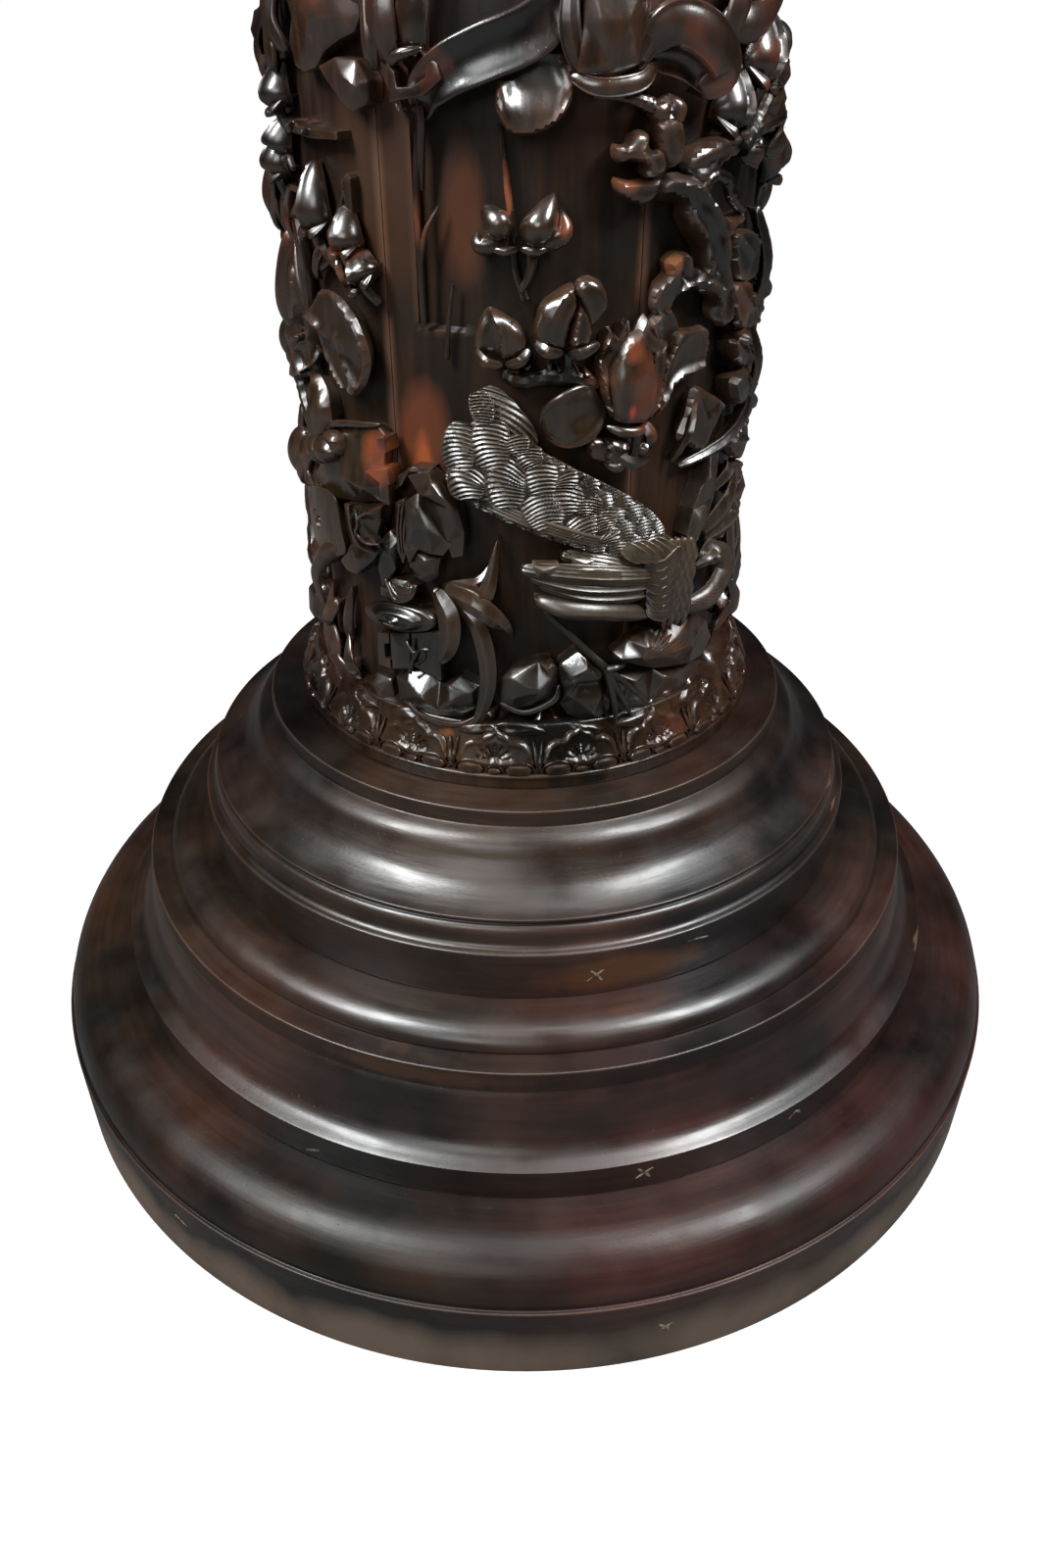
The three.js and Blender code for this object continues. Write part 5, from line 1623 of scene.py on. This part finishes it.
# A bough that climbs round the shaft where the photograph doesn't reach.
def climbingBough(name, node, angle, height, length, lean, seed, rooted):
    maker = np.random.default_rng(seed)
    group = Carving()
    half = length / 2
    sway = maker.uniform(4, 9)
    group.place(angle, height, lean, seen=False)
    path = [(sway * math.sin(k * 1.7 + seed), -half + k * length / 7,
             6 + 2 * math.sin(k * 2.1)) for k in range(8)]
    group.branch(path, [7, 6.4, 6.4, 5.6, 5.4, 4.6, 4, 3], bark=0.28, rows=70, sides=12, seed=seed)
    spots = np.linspace(-0.82, 0.86, 8)
    for k, share in enumerate(spots):
        side = 1 if k % 2 else -1
        lateral = side * maker.uniform(12, 19)
        group.place(angle, height, lean, seen=False)
        group.branch([(sway * math.sin(share * 6 + seed), share * half - 10, 6),
                      (lateral * 0.6, share * half - 3, 8), (lateral, share * half + 4, 7)], [3.4, 2.6, 2.2],
                     bark=0.2, rows=14, seed=seed + k)
        a = math.radians(lean)
        joint = (angle + (lateral * math.cos(a) - share * half * math.sin(a)) / mmPerDegree,
                 height + lateral * math.sin(a) + share * half * math.cos(a))
        turn = -side * maker.uniform(12, 48)
        group.place(*joint, turn, seen=False)
        kind = (k + seed) % 4
        if kind == 0:
            magnolia(group, maker.uniform(17, 20), maker.uniform(36, 42), 15)
        elif kind == 1:
            bud(group, 11, 27, 14)
        elif kind == 2:
            magnolia(group, 15, 34, 13, spread=0.6)
        else:
            bud(group, 9, 22, 13)
            group.place(*joint, turn - side * 60, seen=False)
            dishedLeaf(group, 10, 30, 8)
        group.place(joint[0] + side * 4, joint[1] + 18, turn - side * 42, seen=False)
        foldedLeaf(group, 8, 30, 9)
        group.place(joint[0] - side * 9, joint[1] - 14, side * 66, seen=False)
        foldedLeaf(group, 7, 24, 8)
    if rooted:
        for k, shift in enumerate((-13, 2, 14)):
            group.place(angle + shift, 292 + 9 * (k % 2), k * 20, seen=False)
            group.rock((17, 16 + 5 * (k % 2)), 15, seed=seed * 7 + k, facets=15, ease=0.8)
        for k in range(5):
            group.place(angle - 9 + k * 4, 300, (k - 2) * 17, seen=False)
            group.leaf([(0, 0), (k - 2, 24), ((k - 2) * 7, 42)], [4, 13, 8], 3.6, (0.35, 0.8), ridge=2,
                       rows=26, cols=8)
    finished(group, name, node)


boughs = {
    "back": {"count": 5, "pitch": 41, "height": 435, "length": 250, "lean": 8},
    "high": {"count": 6, "pitch": 60, "height": 752, "length": 285, "lean": -9},
}


def makeBoughs():
    back, high = boughs["back"], boughs["high"]
    for i in range(back["count"]):
        angle = 180 + (i - (back["count"] - 1) / 2) * back["pitch"]
        climbingBough(f"rooted_bough_{i + 1}", f"back_bough_{i + 1}", angle, back["height"], back["length"],
                      back["lean"], 11 + i, True)
    for i in range(high["count"]):
        climbingBough(f"upper_bough_{i + 1}", f"high_bough_{i + 1}", i * high["pitch"], high["height"],
                      high["length"], high["lean"], 31 + i, False)


# Round feathers that overlap like tiles from the root outwards, each with curved barbs.
def scaleFeathers(pitch, barb, depth=0.3):
    def form(x, y, share, t):
        total = 0 * x - 1.0
        for back in (0, 1):
            row = np.floor(x / pitch) - back
            shift = 0.5 * (row % 2)
            ahead = x / pitch - row - 0.15
            aside = y / pitch + shift - np.round(y / pitch + shift)
            reach = np.hypot(ahead, aside * 1.4)
            sweep = np.hypot(ahead + 0.5, aside + 1.3) * pitch
            disc = depth * np.cos(2 * math.pi * sweep / barb) + 0.8 * (1 - reach)
            disc = disc - 0.9 * np.exp(-((1.0 - reach) / 0.07) ** 2)
            total = np.where(reach < 1.0, disc, total)
        return total
    return form


# Slanting lines on both sides of a feather's middle.
def barbs(pitch, depth=0.25):
    def form(x, y, share, t):
        return depth * np.cos((x * 0.55 + np.abs(y)) * 2 * math.pi / pitch)
    return form


# Rings round a spot beside a feather, for the wing's shoulder.
def shoulderRings(x, y, share, t):
    return 0.42 * np.cos(2 * math.pi * np.hypot(x - 6, y + 26) / 2.3)


def tailLines(x, y, share, t):
    return 0.18 * np.cos(y * 3.6)


# Each fan of the wing: its middle line from tip to root, and half its width.
wingFans = [
    ([(18, 377), (18.5, 374.5), (18.5, 371.5)], 5), ([(17, 388), (17, 383), (17.5, 377.5)], 6),
    ([(13.5, 394), (13.5, 390.5), (13.5, 386)], 6), ([(12, 386), (12.5, 381), (13, 375.5)], 7.5),
    ([(8, 406.5), (8.5, 403), (8.5, 399)], 5.5), ([(9, 400), (9, 393.5), (9.5, 387)], 7),
    ([(1.5, 418.5), (1, 413), (1.5, 408.5)], 5.5), ([(3.5, 411.5), (3.5, 404.5), (4, 396.5)], 7),
    ([(1.5, 397), (4, 388.5), (5.5, 381)], 9), ([(-1.5, 423), (-1.5, 419.5), (-1.5, 415)], 5),
    ([(-10.5, 409), (-12, 401.5), (-11.5, 393.5)], 8.6), ([(-2.5, 413.5), (-4, 402), (-3, 390.5)], 8.6),
    ([(-12, 427), (-13.6, 416.5), (-13.5, 405.5)], 7.4), ([(-6.5, 429.5), (-7, 418.5), (-6, 408)], 8.2),
    ([(-9.6, 441), (-8.5, 434), (-8, 427.5)], 5.0),
]


# Fine raised lines across a fan, bowed like a smile.
def fanLines(pitch, slant, depth=0.46):
    def form(x, y, share, t):
        lines = np.cos((x - 0.035 * y**2 + slant * y) * 2 * math.pi / pitch)
        return depth * lines * np.clip((1 - np.abs(t)) * 6, 0, 1)
    return form


# The bird's paths, each with half its width where two numbers or more are given.
bird = {
    "wing": [(31, 366), (19, 380), (5, 394), (-7, 407), (-14.5, 415)],
    "shoulder": [([(1, 414), (-4, 428), (-9, 441)], 8.8), ([(-4, 402), (-10, 407), (-16, 411)], 10),
                 ([(-2, 396), (-8, 398), (-14, 400)], 6)],
    "tail": [([(28, 352), (18, 361), (8, 366.5)], 5.6, 11), ([(29, 350), (15, 356), (-0.8, 360)], 5.8, 14),
             ([(28, 345), (13, 350.5), (1, 356)], 4.0, 13), ([(28, 341), (14, 346), (3, 352.5)], 3.8, 12)],
    "breast": {"rows": 9, "columns": 4, "angle": 34.8, "across": 2.1, "height": 366, "down": 4.4,
               "rise": 17.2},
    "tailTips": [([(1.5, 363), (7.5, 362.5), (7, 355.5), (2.5, 357)], (4, 360, 17), 14.6),
                 ([(10, 366), (17, 364), (14, 357.5), (10.5, 361.5)], (13, 362.5, 15), 12.8)],
    "thigh": [(31, 329), (18, 337), (9, 340.5), (2.5, 344)],
    "foot": [(2, 346), (5, 345), (9, 343), (8, 339.5), (4.5, 337.5)],
    "shank": [(5, 338), (8.5, 330), (14, 317), (19.5, 304)],
    "toes": [((22.5, 268), (21.5, 284)), ((31.5, 277.5), (24.5, 294)), ((27, 272), (23, 288)),
             ((24, 304), (21.5, 305))],
    "neck": [(40, 327), (47, 329), (54, 336), (54, 345), (50, 350)],
    "mantle": [(39, 365.5), (40.5, 378), (43, 388.5), (45, 401.5), (48, 401), (48, 391.5), (47.5, 380),
               (45.5, 369), (42.5, 360)],
    "plumes": [([(46, 362), (52, 374), (57, 384)], 7), ([(47, 358), (56, 366), (62, 372)], 5),
               ([(56, 322), (59, 345), (60, 368)], 4), ([(61, 318), (64, 340), (66, 362)], 4),
               ([(48, 382), (51, 390), (53, 394)], 4), ([(52, 330), (57, 352), (57, 372)], 3)],
}


def makeWing():
    wing = Carving()
    wing.leaf(seen(bird["wing"], 12), [13, 14, 13, 13, 9], 18, (0.3, 0.1), cup=-2.0, thick=6, rows=210,
              cols=90, engrave=scaleFeathers(8.5, 1.5))
    for path, half in bird["shoulder"]:
        wing.leaf(seen(path, 12), [10, 13, 9], half, (0.3, 0.34), cup=-1.2, thick=5, rows=80, cols=48,
                  engrave=shoulderRings)
    for k, (path, half) in enumerate(wingFans):
        wing.leaf(seen(path, 14), [13.6, 14.6, 14.2], half, (0.24, 0.26), dome=0.4, thick=3, rows=72,
                  cols=20, engrave=fanLines(1.9 if half > 6 else 1.35, 0.2 * (k % 3) - 0.2))
    for k in range(4):
        wing.leaf(seen([(25, 363.5 + k * 1.3), (11, 374 + k * 1.6), (-3, 385.5 + k * 1.6),
                        (-13, 394 + k * 1.8)], 13), [11, 13 + k * 0.6, 13, 9], 0.9, (0.2, 0.3), dome=0.8,
                  thick=4, rows=44, cols=4)
    finished(wing, "bird_wing", "pheasant_wing")


def makeBody():
    body = Carving()
    body.place(34.5, 345, 6, out=12)
    body.egg((15.5, 21.5), 16, at=(0, 0, 1.5), rows=30, cols=60)
    body.home()
    for k in range(6):
        body.leaf(seen([(38, 360 - k * 5.4), (33, 353.5 - k * 4.9), (28.6 + k * 0.3, 352 - k * 4.0)], 17),
                  [16.6, 17.6, 13], 4.2, (0.3, 0.3), dome=0.5, rim=0.4, thick=5, rows=26, cols=14,
                  engrave=barbs(2.4, 0.16))
    breast = bird["breast"]
    for row in range(breast["rows"]):
        for column in range(breast["columns"]):
            angle = breast["angle"] + column * breast["across"] + (row % 2) * 1.0 - row * 0.12
            height = breast["height"] - row * breast["down"] - column * 0.9
            rise = breast["rise"] - 0.9 * abs(column - 1) - 0.16 * abs(row - 4) ** 1.5
            body.leaf(seen([(angle, height), (angle + 0.3, height - 5), (angle + 0.1, height - 10.5)], rise),
                      [rise - 0.8, rise + 0.2, rise - 0.1], 2.0, (0.4, 0.6), ridge=0.7, thick=3, rows=14,
                      cols=8)
    for k in range(5):
        body.leaf(seen([(22 + k * 2.2, 368 - k * 0.3), (25 + k * 2.4, 363 - k),
                        (29 + k * 2.2, 358.5 - k * 1.8)], 16), [13, 16.4, 15.4], 3.8, (0.35, 0.5), dome=0.6,
                  rim=0.4, thick=4, rows=22, cols=14, engrave=barbs(2.2, 0.15))
    finished(body, "bird_body", "pheasant_body")


def makeTail():
    tail = Carving()
    for path, half, rise in bird["tail"]:
        tail.leaf(seen(path, rise), [rise, rise + 1.5, rise - 2], half, (0.28, 0.34), ridge=2.2, dome=0.6,
                  thick=6, rows=50, cols=18, engrave=tailLines)
    for outline, crest, rim in bird["tailTips"]:
        tail.planed(outline, [crest], rim=rim, foot=9)
    finished(tail, "bird_tail", "pheasant_tail")


def makeLegs():
    legs = Carving()
    legs.leaf(seen(bird["thigh"], 12), [10, 13, 13, 9], 5.0, (0.3, 0.3), dome=4, ridge=1, thick=7, rows=36,
              cols=14)
    legs.planed(bird["foot"], [(5.5, 341.5, 14.5)], rim=11, foot=4)
    legs.stem(bird["shank"], 11, [1.9, 1.7, 1.8, 2.2])
    for tip, knee in bird["toes"]:
        toe = seen([bird["shank"][-1], knee, tip], 14)
        legs.branch([(*p, w) for p, w in zip(toe, (13, 14.5, 12))], [2.0, 1.5, 0.8])
    finished(legs, "bird_legs", "pheasant_leg")


def makeNeck():
    neck = Carving()
    neck.leaf(seen(bird["neck"], 12), [12, 14, 12, 11, 10], 7.0, (0.25, 0.25), dome=5, rows=50, cols=22,
              thick=8, engrave=barbs(1.9, 0.22))
    neck.place(50, 349, 40, out=12).egg((7.5, 5.0), 9, at=(0, 0, 7), rows=16, cols=30)
    neck.egg((1.7, 1.7), 2.0, at=(-1.5, 1, 15), rows=8, cols=16)
    neck.home()
    neck.leaf(seen([(51, 350), (46.5, 349), (43, 345)], 14), [13, 14, 11], 1.9, (0.3, 0.9), dome=2.4,
              ridge=1)
    neck.leaf(seen([(51, 346), (47, 345), (44, 343.5)], 14), [11, 12, 10], 1.5, (0.3, 0.9), dome=1.6)
    neck.planed(bird["mantle"], [(43, 372, 12), (45.5, 390, 12)], rim=9)
    for path, half in bird["plumes"]:
        neck.leaf(seen(path), [6, 10, 7], half, (0.35, 0.5), ridge=2.6, rows=34, cols=12)
    finished(neck, "bird_neck", "pheasant_neck")


def makeBird():
    makeWing()
    makeBody()
    makeTail()
    makeLegs()
    makeNeck()


upperForms = {
    "petal": [(-48, 577.5), (-47, 572), (-48.5, 564), (-47.5, 556), (-44.5, 554), (-41, 556), (-38.5, 561.5),
              (-34.5, 565.5), (-31, 568), (-29.5, 573), (-30, 590), (-40, 600), (-48, 592)],
    "petalFlat": [(-44, 562, 12), (-42, 572, 15), (-34, 573, 12), (-45, 575, 12), (-38, 584, 14)],
    "triangle": [(-40.5, 556.5), (-36, 560), (-31, 559.5), (-28.5, 552.5), (-29, 545.5), (-32.5, 542),
                 (-35, 544.5), (-38, 550.5)],
    "triangleFlat": [(-35, 554.5, 14), (-32, 551, 15), (-33, 546.5, 12)],
    "cupEdge": [(-25, 559), (-24.2, 552), (-24.8, 546), (-18, 548.5), (-14.5, 554), (-15.2, 559),
                (-18.5, 563.5), (-17.2, 559), (-17.5, 554.5), (-20, 551.5), (-23, 551), (-23.4, 556)],
    "leaves": [
        ([(-27.5, 556), (-27, 568), (-28.5, 592)], 3.4, 10), ([(-24, 558), (-24.5, 574), (-25, 600)], 6, 11),
        ([(-19, 560), (-19, 576), (-15, 604)], 6.5, 9), ([(-31, 575), (-29, 586), (-29, 604)], 4, 9),
        ([(-57, 553), (-55, 562), (-58, 580)], 5, 8), ([(-66, 560), (-62, 575), (-62, 592)], 6, 8),
        ([(-51, 560), (-53, 572), (-52, 590)], 5, 9),
    ],
    "stalk": [(-20, 541), (-17.5, 550), (-13, 557), (-7, 562.5), (1, 569), (8, 580)],
    "twig": [(-19.3, 550), (-19, 541), (-19.6, 530), (-20, 516)],
    "collar": [(-55, 537), (-49, 537), (-45, 535.5), (-37, 535), (-37, 532), (-45, 531.5), (-50, 532.5)],
    "knots": [(-48, 535.5), (-46, 533.5), (-51, 535)],
    "bloom": [(9, 556), (10, 572), (10.5, 590), (17, 596), (21.5, 588), (21.5, 572), (20, 558), (15, 553.5)],
    "bloomFlat": [(13, 572, 15), (18, 572, 15.5), (15.5, 559, 14), (15.5, 587, 12)],
    "curl": [(21, 563), (26.5, 571), (33, 566), (38, 555), (34, 548)],
    "rightBlades": [
        ([(36, 400), (47, 406), (56, 415), (61, 427)], 3.2), ([(34, 403), (36, 418), (39, 434)], 1.6),
        ([(60, 350), (66, 346), (73, 338)], 4), ([(70, 296), (74, 322), (73, 350)], 6),
        ([(66, 500), (70, 476), (70, 452)], 5), ([(68, 452), (72, 430), (72, 404)], 5),
        ([(57, 300), (60, 318), (58, 336)], 5),
    ],
}


# Feather plates that hang down the right side, one under another: each outline and its crest.
rightPlates = [
    ([(44.5, 496), (51, 496), (57, 490), (58, 476), (51, 474), (46.5, 480)], (51, 486, 13)),
    ([(46, 476), (55, 473), (58, 462), (58, 453), (52, 454.5), (48, 460.5)], (52, 465, 13)),
    ([(50, 453), (52, 455), (56, 453), (57, 446), (53, 445.5), (50, 448.5)], (53, 450, 15)),
    ([(47.5, 451), (51, 451), (57.5, 445), (57, 437), (52.5, 438.5)], (53, 444, 12)),
    ([(49, 436), (57, 436), (61, 428), (59, 419.5), (52.5, 421), (49, 428.5)], (54, 429, 14)),
    ([(57, 492), (63, 486), (66, 470), (62, 466), (58, 474)], (61, 478, 10)),
    ([(60, 466), (66, 462), (69, 446), (64, 440), (60, 450)], (64, 453, 10)),
    ([(60, 440), (66, 438), (69, 424), (64, 414), (60, 424)], (64, 427, 10)),
    ([(38, 435.5), (43.5, 430.5), (48.5, 423.5), (46, 414.5), (42.5, 405), (38, 409), (34.5, 414),
      (36.5, 424)], (42, 419, 9)),
    ([(51, 405), (57, 412), (63, 412), (66, 400), (60, 392), (53, 396)], (59, 402, 12)),
    ([(54, 392), (60, 390), (66, 382), (63, 368), (57, 372)], (60, 380, 11)),
    ([(60, 364), (67, 362), (70, 346), (65, 336), (60, 346)], (65, 350, 10)),
    ([(60, 330), (67, 332), (71, 316), (66, 304), (60, 314)], (65, 318, 10)),
]


# The broad stalk's face: hollow between two raised edges.
def stalkTrough(x, y, share, t):
    return -2.6 * np.clip(1 - (t / 0.72) ** 2, 0, 1) + 0.3 * ripple(x, y * 2, 5, 3)


def makeSpray():
    spray = Carving()
    spray.planed(upperForms["petal"], upperForms["petalFlat"], rim=9, foot=1, ease=1.2)
    spray.planed(upperForms["triangle"], upperForms["triangleFlat"], rim=10, foot=1, ease=0.9)
    spray.planed(upperForms["cupEdge"], rim=12, foot=1)
    spray.leaf(seen([(-24, 546), (-21, 549), (-15, 553)], 5), [3, 4, 3], 5, (0.3, 0.3), cup=3, thick=4)
    spray.leaf(seen([(-25, 558), (-22, 561.5), (-18, 563.5)], 12), [10, 13, 11], 2.0, (0.3, 0.4), dome=1.5,
               rows=20)
    for path, half, lift in upperForms["leaves"]:
        spray.leaf(seen(path), [lift * 0.7, lift, lift * 0.6], half, (0.35, 0.5), dome=2.4, ridge=1.2,
                   rim=0.8, thick=6, rows=30, cols=14)

    spray.leaf(seen(upperForms["stalk"], 9), [3, 9, 11, 11, 9, 5], 9.5, (0.32, 0.16), dome=3.0, rim=1.2,
               thick=9, rows=60, cols=28, engrave=stalkTrough)
    spray.leaf(seen(upperForms["twig"], 6), [6, 5, 3.5, 2.2], 1.8, (0.2, 0.5), ridge=1.5, thick=5, rows=30,
               cols=8)
    spray.planed(upperForms["collar"], [(-49, 534.5, 10.5)], rim=8)
    for k, (angle, height) in enumerate(upperForms["knots"]):
        spray.place(angle, height, 40 * k, out=9).rock((3, 2.2), 12, seed=9 + k, facets=7, ease=0.3)
    spray.place(-57, 540, 12, out=9)
    bud(spray, 9, 18, 14)
    spray.place(-59, 525, -20, out=9)
    bud(spray, 9, 15, 14, sepals=False)
    spray.home()
    spray.leaf(seen([(-68, 519), (-60, 519), (-52, 520)], 6), [5, 7, 5], 3, (0.3, 0.4), dome=2)
    # The bloom over the heart leaf, its curled petal, and what stands beside it.
    spray.planed(upperForms["bloom"], upperForms["bloomFlat"], rim=11, foot=2, ease=1.2)
    spray.leaf(seen([(10, 556), (7.5, 570), (8, 592)], 9), [7, 10, 7], 4, (0.3, 0.5), ridge=1.5, rim=0.8,
               thick=6)
    spray.leaf(seen([(20, 557), (22.5, 570), (23, 590)], 9), [7, 10, 7], 4, (0.3, 0.5), ridge=1.5, rim=0.8,
               thick=6)
    spray.leaf(seen([(8, 555), (13, 551.5), (20, 553), (24, 558)], 10), [7, 12, 12, 7], 3.4, (0.35, 0.35),
               dome=2, rim=0.8, thick=7)
    spray.leaf(seen(upperForms["curl"], 11), [6, 12, 14, 12, 8], 8.5, (0.3, 0.35), dome=4.5, rim=1.4,
               thick=8, rows=46, cols=22)
    spray.leaf(seen([(22, 560), (28, 558), (35, 549)], 9), [5, 9, 8], 5.0, (0.4, 0.4), cup=3, rim=1.2,
               rows=30)
    spray.leaf(seen([(39, 572), (45, 570), (55, 578)]), [5, 9, 7], 7, (0.4, 0.5), dome=3, ridge=1)
    spray.leaf(seen([(40, 560), (41, 576), (44, 594)]), [5, 9, 7], 6, (0.4, 0.5), dome=2, ridge=1.4)
    spray.leaf(seen([(51, 566), (52, 580), (54, 598)]), [5, 9, 7], 6, (0.4, 0.5), dome=2, ridge=1.4)
    for outline, middle in rightPlates:
        spray.moulded(outline, [middle], rim=9, reach=1.6, side=0.7, tuck=4, pitch=1.5,
                      lines=[((outline[0], middle[:2], outline[2]), 1.5, 1.2)])
    for path, half in upperForms["rightBlades"]:
        spray.leaf(seen(path), [5, 10, 6], half, (0.35, 0.5), ridge=2.4, dome=0.6, rim=0.5, thick=6, rows=30,
                   cols=14, engrave=barbs(3.0, 0.15))
    finished(spray, "upper_spray", "flower_spray")


def makeFloor():
    reach = studio["floor"]
    mesh = bpy.data.meshes.new("floor")
    corners = [(-reach, -reach, 0), (reach, -reach, 0), (reach, reach, 0), (-reach, reach, 0)]
    mesh.from_pydata(corners, [], [(0, 1, 2, 3)])
    mesh.materials.append(floorLook("studio floor"))
    floor = bpy.data.objects.new("floor", mesh)
    bpy.context.collection.objects.link(floor)


# The pieces inside keep the CAD's own meshes and only take a look.
def dressHidden():
    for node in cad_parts:
        thing = bpy.data.objects.get(node)
        if thing is None or thing.type != "MESH":
            continue
        if node.startswith("dowel") or node.endswith("plug"):
            look = innerWood
        elif node.startswith("tie") or node.endswith("washer") or node.endswith("nut"):
            look = ironLook
        else:
            continue
        for slot in thing.material_slots:
            slot.material = look


stages = {
    "camera, lights and floor": (makeCamera, makeLamps, makeWorld, makeFloor),
    "turned blocks": (makeBase, makeBlockMarks, makeHead),
    "shaft wall": (makeStaves,),
    "lotus borders": (makeBorders,),
    "rocks and lantern": (makeRocks, makeLantern),
    "leaves and blades": (makeOrchid, makeBell, makeCurledLeaf, makeIris),
    "buds and blooms": (makePetalLeft, makeBudPair, makeBloomRight, makeRoundPetal),
    "old bough": (makeBough,),
    "bird": (makeBird,),
    "spray and climbing boughs": (makeSpray, makeBoughs),
    "pieces inside": (dressHidden,),
}
for stage, jobs in stages.items():
    print(stage)
    for job in jobs:
        job()
bpy.context.scene.view_settings.view_transform = "Standard"
